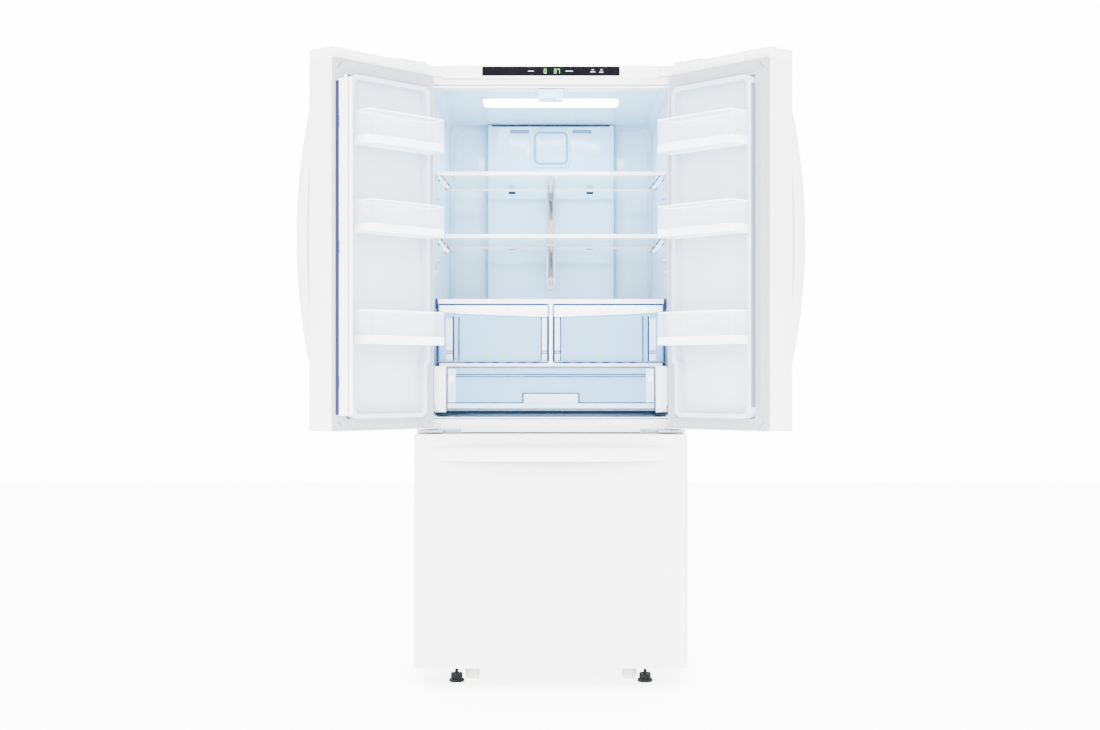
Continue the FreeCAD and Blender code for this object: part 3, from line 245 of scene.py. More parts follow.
def glowing(name, low, high, strength, pitch):
    """The frosted lens: fine ribs across it, brighter between them."""
    made = Finish(name, Roughness=0.35, Emission_Strength=strength)
    along = made.node("ShaderNodeSeparateXYZ", made.place(), output="X")
    ribs = made.node("ShaderNodeMath", along * (2 * math.pi / pitch), operation="SINE") * 0.5 + 0.5
    colour = made.between(ribs, low, high)
    made.drive(Base_Color=colour, Emission_Color=colour)
    return made.bump(ribs, 0.0004, 0.6)


def black_glass():
    made = Finish("display_glass", Specular_IOR_Level=0.03)
    haze = made.noise(made.place(), 40)
    made.drive(Base_Color=made.between(haze, (0.0015, 0.0015, 0.0022), (0.003, 0.003, 0.004)),
               Roughness=haze * 0.08 + 0.06)
    return made


def lit(name, colour, strength):
    """Lit marks behind the glass, a little uneven."""
    made = Finish(name, Roughness=0.4, Emission_Strength=strength)
    uneven = made.noise(made.place(), 300)
    shade = made.between(uneven, tuple(part * 0.75 for part in colour), colour)
    made.drive(Base_Color=shade, Emission_Color=shade)
    return made


SNOW, MILK = (0.60, 0.60, 0.592), (0.66, 0.66, 0.652)
CHINA, CHALK = (0.66, 0.66, 0.665), (0.72, 0.72, 0.725)
FINISHES = {
    "white_steel": brushed_white("white_steel", SNOW, MILK),
    "galvanised_steel": zinc(),
    "foam": foam(),
    "liner_plastic": moulded("liner_plastic", (0.33, 0.525, 0.665), (0.38, 0.57, 0.705), 0.12),
    "white_plastic": moulded("white_plastic", CHINA, CHALK, 0.33),
    "black_glass": black_glass(),
    "plated_steel": metal("plated_steel", (0.34, 0.38, 0.43), (0.50, 0.54, 0.60), 0.24),
    "lamp_lens": glowing("lamp_lens", (0.86, 0.95, 1.0), (1.0, 1.0, 1.0), 60.0, 0.008),
    "shelf_glass": see_through("shelf_glass", (0.80, 0.91, 0.95), (0.45, 0.68, 0.72), 0.08, 0.5,
                               0.03),
    "clear_plastic": see_through("clear_plastic", (0.93, 0.96, 0.99), (0.72, 0.82, 0.92), 0.10,
                                 0.5),
    "grey_seal": rubber(),
    "handle_paint": moulded("handle_paint", SNOW, MILK, 0.28),
    "black_enamel": moulded("black_enamel", (0.012, 0.012, 0.013), (0.03, 0.03, 0.032), 0.3, 300),
    "finned_aluminium": metal("finned_aluminium", (0.62, 0.63, 0.65), (0.78, 0.79, 0.81), 0.36),
    "dark_foot": moulded("dark_foot", (0.002, 0.002, 0.0025), (0.006, 0.006, 0.007), 0.6, 500,
                         0.0001, Specular_IOR_Level=0.12),
    "roller_nylon": moulded("roller_nylon", (0.62, 0.58, 0.50), (0.72, 0.68, 0.60), 0.45, 400),
    "fan_plastic": moulded("fan_plastic", (0.04, 0.04, 0.045), (0.08, 0.08, 0.085), 0.45, 400),
}
CRISPER_CLEAR = see_through("crisper_clear", (0.34, 0.62, 0.86), (0.08, 0.24, 0.52), 0.30, 0.92)
FROSTED = see_through("frosted_plastic", (0.74, 0.86, 0.95), (0.55, 0.72, 0.88), 0.42, 0.8, 0.3)
BIN_TRIM = see_through("bin_trim", (0.92, 0.94, 0.955), (0.82, 0.87, 0.91), 0.75, 0.97, 0.2)
DOOR_LINER = moulded("door_liner_plastic", (0.42, 0.48, 0.55), (0.46, 0.52, 0.585), 0.24)
# Painted shade: the duct plastic is a darker copy of the liner plastic, standing in for the shade on the duct and
# the filter cover.
DUCT_SHADED_PLASTIC = moulded("duct_plastic_shaded", (0.28, 0.475, 0.62), (0.33, 0.52, 0.66), 0.14)
# Painted shade and shadow: the finishes from here to lilac_shade colour strips laid in gaps, slots, vents, seams
# and along moulded edges, where only shade falls.
VENT_SHADE = shadow("vent_shade", (0.06, 0.15, 0.24), (0.10, 0.20, 0.30), 0.5, 0.2)
BLUE_SHADE_LINE = shadow("blue_shade_line", (0.004, 0.018, 0.06), (0.007, 0.026, 0.08), 0.5, 0.08)
PALE_SHADE_LINE = shadow("pale_shade_line", (0.085, 0.22, 0.40), (0.12, 0.27, 0.46), 0.5, 0.15)
DARK_GAP_SHADOW = shadow("dark_gap_shadow", (0.003, 0.006, 0.014), (0.006, 0.010, 0.02), 0.6, 0.05)
GREY_GAP_SHADE = shadow("grey_gap_shade", (0.010, 0.0105, 0.0125), (0.018, 0.019, 0.021), 0.6, 0.05)
# Painted shade for the bins' edges, where their clear walls are seen edge-on.
BIN_EDGE_SHADE = moulded("bin_edge_shade", (0.36, 0.46, 0.58), (0.44, 0.54, 0.66), 0.3)
NAVY_GAP_SHADOW = shadow("navy_gap_shadow", (0.010, 0.014, 0.055), (0.016, 0.02, 0.075), 0.6, 0.05)
LILAC_SHADE = shadow("lilac_shade", (0.11, 0.115, 0.155), (0.15, 0.155, 0.20), 0.6, 0.2)
GREEN_LIGHT = lit("green_light", (0.20, 0.62, 0.16), 0.5)
PALE_LIGHT = lit("pale_light", (0.55, 0.56, 0.60), 0.2)


# ---- shape helpers ----

def block(low, high):
    """A plain block, the start of most shapes here."""
    mesh = bmesh.new()
    corners = bmesh.ops.create_cube(mesh, size=1)["verts"]
    low, high = Vector(low), Vector(high)
    bmesh.ops.scale(mesh, vec=high - low, verts=corners)
    bmesh.ops.translate(mesh, vec=(low + high) / 2, verts=corners)
    return mesh


def bevel(mesh, edges, radius, segments=3):
    if edges:
        bmesh.ops.bevel(mesh, geom=edges, offset=radius, offset_type="OFFSET", segments=segments,
                        profile=0.5, affect="EDGES", clamp_overlap=True, material=-1)


def corner_edges(mesh, angle=30):
    return [edge for edge in mesh.edges
            if len(edge.link_faces) == 2 and edge.calc_face_angle(0) > math.radians(angle)]


def soften(mesh, radius, segments=3, where=None):
    """Rounds the sharp edges, or only those whose middle passes the test."""
    edges = corner_edges(mesh)
    if where:
        edges = [edge for edge in edges
                 if where((edge.verts[0].co + edge.verts[1].co) / 2,
                          edge.verts[1].co - edge.verts[0].co)]
    bevel(mesh, edges, radius, segments)
    return mesh


def along(axis):
    """A test for edges that run along an axis."""
    index = "xyz".index(axis)
    return lambda middle, run: abs(run.normalized()[index]) > 0.98


def rounded_block(low, high, corner, axis, radius=0.001, segments=8):
    """A block with large corners along one axis and its other edges eased."""
    mesh = soften(block(low, high), corner, segments, along(axis))
    return soften(mesh, radius, 2)


def joined(*meshes):
    """Several loose shapes as one mesh."""
    whole = bmesh.new()
    for mesh in meshes:
        holder = bpy.data.meshes.new("holder")
        mesh.to_mesh(holder)
        mesh.free()
        whole.from_mesh(holder)
        bpy.data.meshes.remove(holder)
    return whole


def copied(node):
    """An editable copy of a part of the fixed frame, with its flat faces made whole."""
    mesh = bmesh.new()
    mesh.from_mesh(nodes[node].data)
    bmesh.ops.remove_doubles(mesh, verts=mesh.verts, dist=0.00001)
    bmesh.ops.dissolve_limit(mesh, angle_limit=math.radians(0.6), verts=mesh.verts,
                             edges=mesh.edges, use_dissolve_boundaries=False)
    return mesh


def piece(name, mesh, finish, body, slot=None, *stands_for):
    """Puts a finished mesh in the scene, riding on its body."""
    bmesh.ops.recalc_face_normals(mesh, faces=mesh.faces)
    data = bpy.data.meshes.new(name)
    mesh.to_mesh(data)
    mesh.free()
    data.shade_smooth()
    data.set_sharp_from_angle(angle=math.radians(32))
    data.materials.append(finish.material)
    thing = bpy.data.objects.new(name, data)
    bpy.context.scene.collection.objects.link(thing)
    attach(thing, body)
    if stands_for:
        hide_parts(*stands_for)
    return thing


def body_of(node):
    for body, members in frame["record"]["behaviour"]["bodies"].items():
        if node in members:
            return body


SLOT_OF = {part["node"]: part["material_slot"] for part in frame["record"]["subparts"]}


def softened(node, radius, finish=None, segments=3):
    """Stands in for a part with the same shape and eased edges."""
    mesh = soften(copied(node), radius, segments)
    slot = SLOT_OF[node]
    return piece(node + "_eased", mesh, finish or FINISHES[slot], body_of(node), slot, node)


def slip(low, high, turn=0.0, centre=None):
    """A thin line of material, turned as seen from the front about its middle or a centre."""
    lowest = [min(pair) for pair in zip(low, high)]
    highest = [max(pair) for pair in zip(low, high)]
    mesh = soften(block(lowest, highest), 0.0002, 2)
    middle = centre or (Vector(lowest) + Vector(highest)) / 2
    bmesh.ops.rotate(mesh, cent=middle, matrix=Matrix.Rotation(math.radians(turn), 3, "Y"),
                     verts=mesh.verts)
    return mesh


def slips(name, finish, body, *boxes):
    piece(name, joined(*[slip(*box) for box in boxes]), finish, body)


def both(low, high):
    """A box and its twin on the other side of the middle plane."""
    return (low, high), ((-low[0], *low[1:]), (-high[0], *high[1:]))


# ---- door helpers: shapes are made as if the left door were shut ----

RIM_HEIGHT = 0.032
HINGE = next(joint for joint in frame["joints"] if joint["name"] == "left_door_hinge")
PIN = Matrix.Translation(Vector(HINGE["pos_m"]))
SWING = PIN @ Matrix.Rotation(math.radians(HINGE["range_deg"][0]), 4, "Z") @ PIN.inverted()
FLIP = Matrix.Scale(-1, 4, (1, 0, 0))


def shut_box(node):
    """The lowest and highest corners of a left-door part with the door shut."""
    spots = [SWING.inverted() @ corner.co for corner in nodes[node].data.vertices]
    return (Vector(min(spot[axis] for spot in spots) for axis in range(3)),
            Vector(max(spot[axis] for spot in spots) for axis in range(3)))


def shut_copy(node):
    mesh = copied(node)
    bmesh.ops.transform(mesh, matrix=SWING.inverted(), verts=mesh.verts)
    return mesh


def on_doors(name, mesh, finish, slot=None, stands_for=None):
    """Opens a left-door shape, and mirrors it for the right door."""
    for side in ("left", "right"):
        mine = mesh.copy()
        matrix = SWING if side == "left" else FLIP @ SWING
        bmesh.ops.transform(mine, matrix=matrix, verts=mine.verts)
        replaced = [f"{side}_door_{stands_for}"] if stands_for else []
        piece(f"{side}_door_{name}", mine, finish, f"{side}_door", slot, *replaced)
    mesh.free()


# ---- doors ----

def door_shells():
    for side in ("left", "right"):
        softened(f"{side}_door_skin", 0.0006)
        softened(f"{side}_door_caps", 0.0014)


def door_plane():
    """How far back the flat inside of the shut door reaches."""
    return shut_box("left_door_core")[1].y + 0.002


def door_liners():
    plane = door_plane()
    rim_top = plane + RIM_HEIGHT

    def rim_edge(middle, run):
        return abs(middle.y - rim_top) < 0.0004 and middle.x < -0.04

    def floor_edge(middle, run):
        return abs(middle.y - (plane + 0.006)) < 0.0004

    for side in ("left", "right"):
        node = f"{side}_door_liner"
        mesh = copied(node)
        matrix = SWING if side == "left" else FLIP @ SWING
        bmesh.ops.transform(mesh, matrix=matrix.inverted(), verts=mesh.verts)
        soften(mesh, 0.0048, 4, rim_edge)
        soften(mesh, 0.0045, 3, floor_edge)
        bmesh.ops.transform(mesh, matrix=matrix, verts=mesh.verts)
        piece(node + "_eased", mesh, DOOR_LINER, f"{side}_door", "liner_plastic", node)


def ring(x_lines, z_lines, y_back, y_front, groove):
    """A flat frame with a rounded raised bead between two shallow channels."""
    mesh = bmesh.new()
    bmesh.ops.create_grid(mesh, x_segments=3, y_segments=3, size=0.5)
    for corner in mesh.verts:
        column, row = round((corner.co.x + 0.5) * 3), round((corner.co.y + 0.5) * 3)
        corner.co = (x_lines[column], y_front, z_lines[row])
    middle = min(mesh.faces, key=lambda face: (face.calc_center_median() - Vector(
        ((x_lines[1] + x_lines[2]) / 2, y_front, (z_lines[1] + z_lines[2]) / 2))).length)
    bmesh.ops.delete(mesh, geom=[middle], context="FACES")
    faces = mesh.faces[:]
    groove *= 1 if y_front < y_back else -1
    for width, depth in ((0.002, 0.0), (0.003, -groove), (0.004, groove * 0.8)):
        bmesh.ops.inset_region(mesh, faces=faces, thickness=width, depth=depth,
                               use_even_offset=True, use_boundary=True)
    back = bmesh.ops.extrude_face_region(mesh, geom=mesh.faces[:])
    corners = [part for part in back["geom"] if isinstance(part, bmesh.types.BMVert)]
    for corner in corners:
        corner.co.y = y_back
    return mesh


def door_seals():
    low, high = shut_box("left_door_gasket")
    inner_low, inner_high = seal_opening()
    mesh = ring((low.x, inner_low.x, inner_high.x, high.x),
                (low.z, inner_low.z, inner_high.z, high.z), low.y, high.y, 0.0016)
    on_doors("seal", mesh, FINISHES["grey_seal"], "grey_seal", "gasket")


def seal_opening():
    """The inside corners of the left seal's opening, read from its strips."""
    low, high = shut_box("left_door_gasket")
    spots = [SWING.inverted() @ corner.co for corner in nodes["left_door_gasket"].data.vertices]
    middle = (low + high) / 2
    inside = {axis: (max(spot[axis] for spot in spots
                         if low[axis] + 0.002 < spot[axis] < middle[axis]),
                     min(spot[axis] for spot in spots
                         if middle[axis] < spot[axis] < high[axis] - 0.002)) for axis in (0, 2)}
    return (Vector((inside[0][0], low.y, inside[2][0])),
            Vector((inside[0][1], high.y, inside[2][1])))


def bowed(mesh, low, high, reach, amount, steps=12):
    """Splits a shape across its width and draws its ends back, so that its front bows."""
    for step in range(1, steps):
        spot = low + (high - low) * step / steps
        bmesh.ops.bisect_plane(mesh, geom=mesh.verts[:] + mesh.edges[:] + mesh.faces[:],
                               plane_co=(spot, 0, 0), plane_no=(1, 0, 0), dist=1e-6)
    for corner in mesh.verts:
        share = (2 * (corner.co.x - low) / (high - low) - 1) ** 2
        if corner.co.y > reach:
            corner.co.y -= amount * share
    return mesh


def door_bins():
    """Clear bins with a bowed front, a white skirt, a bright rim, a finger mark and painted shade lines at their
    edges.
    """
    low, high = shut_box("left_door_bins")
    shapes = shut_copy("left_door_bins")
    heights = sorted({round(corner.co.z, 4) for corner in shapes.verts})
    shapes.free()
    floors = [heights[0]] + [after for before, after in zip(heights, heights[1:])
                             if after - before > 0.1]
    tops = [before for before, after in zip(heights, heights[1:]) if after - before > 0.1]
    tops.append(heights[-1])
    over_rim = door_plane() + RIM_HEIGHT
    skirt, rim, wall, draw = 0.022, 0.0035, 0.0025, 0.005
    clear, trim, edges = [], [], []
    for floor, top in zip(floors, tops):
        # Painted shade lines at each bin's front corners and back edge.
        for x in (low.x + 0.0085, high.x - 0.0085):
            edges.append(slip((x - 0.0006, high.y - draw - 0.001, floor + skirt),
                              (x + 0.0006, high.y - draw + 0.0012, top - rim)))
        edges.append(slip((low.x + 0.001, over_rim + 0.004, floor + skirt),
                          (low.x - 0.0002, over_rim + 0.0065, top - rim)))
        tub = bin_tub(low, high, floor, top, over_rim, 0.0006, wall)
        clear.append(bowed(tub, low.x, high.x, over_rim + 0.02, draw))
        lower = bin_tub(low, high, floor, floor + skirt, over_rim, 0.0, 0.0006, floor=False)
        trim.append(bowed(lower, low.x, high.x, over_rim + 0.02, draw))
        upper = bin_tub(low, high, top - rim, top, over_rim, 0.0, 0.0036, floor=False)
        trim.append(bowed(upper, low.x, high.x, over_rim + 0.02, draw))
        middle = (low.x + high.x) / 2
        mark = rounded_block((middle - 0.03, high.y - 0.004, top - 0.0022),
                             (middle + 0.03, high.y - 0.0006, top + 0.0004), 0.0015, "z", 0.0003)
        trim.append(mark)
    on_doors("bin_tubs", joined(*clear), FINISHES["clear_plastic"], "clear_plastic", "bins")
    on_doors("bin_trims", joined(*trim), BIN_TRIM, "clear_plastic")
    on_doors("bin_edge_shading", joined(*edges), BIN_EDGE_SHADE)


def bin_tub(low, high, floor_z, top_z, over_rim, inset, wall, floor=True):
    """An open tub, wide over the door's rim and with rounded front corners."""
    wide = block((low.x + inset, over_rim + 0.001, floor_z),
                 (high.x - inset, high.y - inset, top_z))
    soften(wide, 0.006, 5, lambda middle, run: abs(run.normalized().z) > 0.98
           and middle.y > over_rim + 0.02)
    top = [face for face in wide.faces if face.normal.z > 0.9]
    bottom = [] if floor else [face for face in wide.faces if face.normal.z < -0.9]
    bmesh.ops.delete(wide, geom=top + bottom, context="FACES")
    bmesh.ops.recalc_face_normals(wide, faces=wide.faces)
    outward = [face for face in wide.faces if face.normal.y > 0.5]
    if outward and outward[0].calc_center_median().y < (over_rim + high.y) / 2:
        bmesh.ops.reverse_faces(wide, faces=wide.faces)
    bmesh.ops.solidify(wide, geom=wide.faces[:], thickness=wall)
    return wide


def door_handles():
    for side in ("left", "right"):
        softened(f"{side}_door_handle", 0.007, segments=5)


def folding_bar():
    """The bar, with a painted shadow for the dark gap between it and the seal and a thin painted shade line down
    its outer edge.
    """
    softened("mullion_bar", 0.0012)
    low, high = shut_box("mullion_bar")
    bottom, top = low.z + 0.001, high.z - 0.012
    near, far = high.x - 0.0002, high.x + 0.0005
    lines = joined(slip((near, low.y - 0.001, bottom), (far, low.y + 0.0125, top)),
                   slip((near, high.y - 0.0030, bottom), (far, high.y - 0.0006, top)))
    bmesh.ops.transform(lines, matrix=SWING, verts=lines.verts)
    piece("mullion_shadow_lines", lines, NAVY_GAP_SHADOW, body_of("mullion_bar"))


def door_lines():
    """Painted shadow lines round the raised rim, a painted shade plate on its free side, and painted shade in the
    corner seams of the seal.
    """
    plane = door_plane()
    seal_low, seal_high = shut_box("left_door_gasket")
    rim_side, rim_free, rim_low, rim_high = -0.330, -0.046, 0.753, 1.657
    on_doors("rim_side_shade", slip((rim_free - 0.0002, plane + 0.001, rim_low + 0.03),
                                    (rim_free + 0.0006, plane + 0.026, rim_high - 0.022)),
             LILAC_SHADE)
    lines = [
        slip((rim_free + 0.0002, plane + 0.0002, rim_low + 0.03),
             (rim_free + 0.0038, plane + 0.0014, rim_high - 0.022)),
        slip((rim_side + 0.03, plane + 0.0002, rim_low - 0.0020),
             (rim_free - 0.02, plane + 0.0012, rim_low + 0.0002)),
        slip((rim_side + 0.008, plane + 0.0002, rim_low + 0.0010),
             (rim_side + 0.026, plane + 0.0012, rim_low + 0.0036), 42),
        slip((rim_free - 0.014, plane + 0.0002, rim_low - 0.0032),
             (rim_free - 0.004, plane + 0.0012, rim_low - 0.0006)),
    ]
    on_doors("rim_shadow_lines", joined(*lines), NAVY_GAP_SHADOW)
    seams = []
    for level, turn in ((seal_high.z - 0.017, 52), (seal_low.z + 0.016, -50)):
        seams.append(slip((seal_high.x - 0.028, seal_high.y - 0.0006, level - 0.0009),
                          (seal_high.x - 0.006, seal_high.y + 0.0001, level + 0.0009), turn))
    on_doors("seal_seam_shades", joined(*seams), GREY_GAP_SHADE)


# ---- fresh food space ----

def liner_walls():
    """The tub, with a soft corner all round its back."""
    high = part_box("fridge_liner")[1]
    back = high.y - 0.002

    def deep(middle, run):
        return abs(middle.y - back) < 0.0005 and middle.z < high.z - 0.004

    mesh = copied("fridge_liner")
    soften(mesh, 0.014, 5, deep)
    piece("fridge_liner_eased", mesh, FINISHES["liner_plastic"], "cabinet", "liner_plastic",
          "fridge_liner")


def side_ledges():
    """Short moulded ledges on the walls, and a slanted clip below each shelf's front corner with painted shade
    marks on it.
    """
    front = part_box("shelf_frames")[0].y
    ledge_inner, ledge_outer = 0.324, 0.3345
    clip_middle, clip_half, clip_tilt = 0.309, Vector((0.022, 0, 0.0065)), -52
    ledges, clips, marks = [], [], []
    for level in (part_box("shelf_glass")[0].z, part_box("shelf_glass")[1].z):
        for side in (-1, 1):
            for drop in (0.062, 0.095):
                ledges.append(rounded_block(
                    (min(side * ledge_inner, side * ledge_outer), front + 0.02,
                     level - drop - 0.006),
                    (max(side * ledge_inner, side * ledge_outer), front + 0.10, level - drop),
                    0.004, "y", 0.0015, 4))
            centre = Vector((side * clip_middle, front + 0.004, level - 0.026))
            tilt = side * clip_tilt
            clips.append(slip(centre - clip_half, centre + clip_half + Vector((0, 0.004, 0)),
                              tilt))
            # Painted shade marks on each clip, standing in for the shading of its clear hook shape.
            for along_clip, across_clip, half in ((-0.016, 0.0072, 0.004), (-0.004, 0.0072, 0.005),
                                                  (0.012, 0.0072, 0.007), (0.019, -0.007, 0.003),
                                                  (-0.012, -0.007, 0.004), (0.026, 0.0072, 0.003)):
                middle = centre + Vector((side * -along_clip, 0, across_clip))
                marks.append(slip(middle - Vector((half, 0.0030, 0.0017)),
                                  middle + Vector((half, 0.0022, 0.0017)), tilt, centre))
    piece("side_ledges", joined(*ledges), FINISHES["liner_plastic"], "cabinet", "liner_plastic")
    piece("shelf_clips", joined(*clips), FROSTED, "cabinet")
    piece("shelf_clip_shade_marks", joined(*marks), GREY_GAP_SHADE, "cabinet")


def back_panels():
    """Shallow raised fields on the back wall, either side of the duct."""
    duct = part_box("duct_cover")
    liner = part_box("fridge_liner")
    back = liner[1].y - 0.002
    fields = []
    for side in (-1, 1):
        inner, outer = side * (duct[1].x + 0.004), side * 0.309
        field = block((min(inner, outer), back - 0.005, duct[0].z + 0.01),
                      (max(inner, outer), back - 0.0002, duct[1].z - 0.006))
        soften(field, 0.045, 8, lambda middle, run: abs(run.normalized().y) > 0.98
               and abs(middle.x) > 0.25 and middle.z > 1)
        soften(field, 0.003, 3, lambda middle, run: middle.y < back - 0.002)
        fields.append(field)
    piece("back_fields", joined(*fields), FINISHES["liner_plastic"], "cabinet", "liner_plastic")


def duct_and_filter():
    # The duct cover and filter cover take the darker duct plastic, a painted shade.
    softened("duct_cover", 0.0025, DUCT_SHADED_PLASTIC)
    duct_low, duct_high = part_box("duct_cover")
    # Painted shade lines down the duct cover's sides and a painted shadow line along its top.
    slips("duct_edge_shade_lines", PALE_SHADE_LINE, "cabinet", *both(
        (duct_high.x + 0.0002, duct_low.y + 0.001, duct_low.z + 0.02),
        (duct_high.x + 0.0026, duct_low.y + 0.006, duct_high.z - 0.004)))
    slips("duct_top_shadow_line", BLUE_SHADE_LINE, "cabinet",
          ((-0.185, duct_low.y - 0.0006, duct_high.z - 0.0042),
           (0.185, duct_low.y + 0.002, duct_high.z - 0.0002)))
    low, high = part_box("air_filter_cover")
    plate = rounded_block(low, high, 0.027, "y", 0.0012, 10)
    face = min(plate.faces, key=lambda one: one.calc_center_median().y)
    bmesh.ops.inset_region(plate, faces=[face], thickness=0.006, depth=0.0, use_even_offset=True)
    bmesh.ops.inset_region(plate, faces=[face], thickness=0.002, depth=-0.0025,
                           use_even_offset=True)
    bmesh.ops.inset_region(plate, faces=[face], thickness=0.010, depth=0.0018,
                           use_even_offset=True)
    piece("air_filter_cover_eased", plate, DUCT_SHADED_PLASTIC, "cabinet", "liner_plastic",
          "air_filter_cover")
    # A painted shade ring in the filter cover's groove.
    groove = rounded_block(low + Vector((0.007, 0.0012, 0.007)), high - Vector((0.007, 0, 0.007)),
                           0.021, "y", 0.0004, 10)
    piece("filter_groove_shade", groove, PALE_SHADE_LINE, "cabinet")
    upper, lower = [], []
    # Vent mouths in painted shade: mid-blue for the upper vents, near-black for the low vents.
    for middle, level, half_width, half_height in vent_places():
        mouth = rounded_block(
            (middle - half_width, low.y + 0.0085, level - half_height),
            (middle + half_width, low.y + 0.0105, level + half_height), 0.002, "y", 0.0003, 4)
        (upper if half_width > 0.02 else lower).append(mouth)
        if half_width < 0.02:
            lower.append(slip((middle - half_width, low.y + 0.0052, level - half_height),
                              (middle + half_width, low.y + 0.0068, level + half_height)))
            # A second dash above each low vent: a painted reflection of the vent in the shelf glass.
            upper.append(slip((middle - half_width, low.y + 0.0052, level + 0.0185),
                              (middle + half_width, low.y + 0.0068, level + 0.0225)))
    piece("vent_mouths", joined(*upper), VENT_SHADE, "cabinet")
    piece("low_vent_mouths", joined(*lower), DARK_GAP_SHADOW, "cabinet")


def vent_places():
    """The air vents in the duct cover, as holes read from its front face."""
    low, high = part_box("duct_cover")
    mesh = copied("duct_cover")
    front = [corner.co.copy() for corner in mesh.verts if abs(corner.co.y - low.y) < 0.0003
             and abs(corner.co.x) < high.x - 0.01 and low.z + 0.01 < corner.co.z < high.z - 0.005]
    mesh.free()
    places = []
    for side in (-1, 1):
        mine = [spot for spot in front if spot.x * side > 0]
        while mine:
            seed = mine[0]
            cluster = [spot for spot in mine if (spot - seed).length < 0.07]
            mine = [spot for spot in mine if (spot - seed).length >= 0.07]
            xs, zs = [spot.x for spot in cluster], [spot.z for spot in cluster]
            places.append(((min(xs) + max(xs)) / 2, (min(zs) + max(zs)) / 2,
                           (max(xs) - min(xs)) / 2, (max(zs) - min(zs)) / 2))
    return places


def lamp():
    """A ribbed lens lying against the sloping ceiling, with a clip slot near one end drawn in painted shade."""
    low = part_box("ceiling_lamp")[0]
    softened("ceiling_lamp", 0.0012)
    clip = rounded_block((low.x + 0.012, low.y + 0.004, low.z + 0.0016),
                         (low.x + 0.030, low.y + 0.022, low.z + 0.0030), 0.002, "z", 0.0003, 4)
    piece("lamp_clip_slot_shade", clip, VENT_SHADE, "cabinet")


def shelves():
    softened("shelf_frames", 0.0018)
    softened("shelf_glass", 0.0006)
    softened("shelf_brackets", 0.0006)
    softened("shelf_track", 0.0004)


def curved_band(low, high, sign, upper, lower, proud, thickness):
    """A band across a drawer front whose edges drop towards the middle of the cabinet."""
    band = bmesh.new()
    bmesh.ops.create_grid(band, x_segments=16, y_segments=1, size=0.5)
    for corner in band.verts:
        share = corner.co.x + 0.5
        near = share if sign < 0 else 1 - share
        top, bottom = upper(near), lower(near)
        x = low.x + 0.002 + (high.x - low.x - 0.004) * share
        corner.co = (x, low.y - proud, high.z - (top if corner.co.y > 0 else bottom))
    sheet = bmesh.ops.extrude_face_region(band, geom=band.faces[:])
    moved = [part for part in sheet["geom"] if isinstance(part, bmesh.types.BMVert)]
    bmesh.ops.translate(band, vec=(0, thickness, 0), verts=moved)
    bmesh.ops.recalc_face_normals(band, faces=band.faces)
    return soften(band, 0.0006, 2)


def grip_depth(near):
    return 0.019 + 0.016 * near ** 0.55


def crisper_fronts():
    """Clear blue-tinted drawers: a curved white grip with a painted shadow under it, a pale column at each end,
    and blue painted shade lines.
    """
    for side, sign in (("left", -1), ("right", 1)):
        node = f"{side}_crisper"
        low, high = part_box(node)
        mesh = soften(copied(node), 0.0035, 3)
        piece(node + "_tub", mesh, CRISPER_CLEAR, node, "clear_plastic", node)
        grip = curved_band(low, high, sign, lambda near: 0.0, grip_depth, 0.0008, 0.005)
        piece(node + "_grip", grip, FINISHES["white_plastic"], node)
        shade = curved_band(low, high, sign, grip_depth, lambda near: grip_depth(near) + 0.0042,
                            0.0003, 0.002)
        piece(node + "_grip_shade", shade, PALE_SHADE_LINE, node)
        face = low.y - 0.0006
        columns, lines = [], []
        for near_x, far_x in ((0.010, 0.0265), (0.282, 0.302)):
            columns.append(slip((sign * near_x, face, low.z + 0.004),
                                (sign * far_x, low.y + 0.0004, high.z - 0.040)))
            for level in (0.031, 0.025):
                lines.append(slip((sign * near_x, face - 0.0003, low.z + level - 0.0015),
                                  (sign * far_x, face + 0.0004, low.z + level + 0.0015)))
        # Blue painted shade lines down the column edges and along each drawer's top edge.
        for x, half in ((0.0275, 0.0016), (0.0095, 0.0018), (0.2805, 0.0025), (0.2645, 0.0018)):
            lines.append(slip((sign * x - half, face - 0.0002, low.z + 0.003),
                              (sign * x + half, face + 0.0006, high.z - 0.034)))
        lines.append(slip((sign * 0.009, low.y - 0.0018, high.z - 0.0024),
                          (sign * 0.3225, low.y + 0.001, high.z + 0.0019)))
        piece(node + "_columns", joined(*columns), FROSTED, node)
        piece(node + "_lines", joined(*lines), BLUE_SHADE_LINE, node)


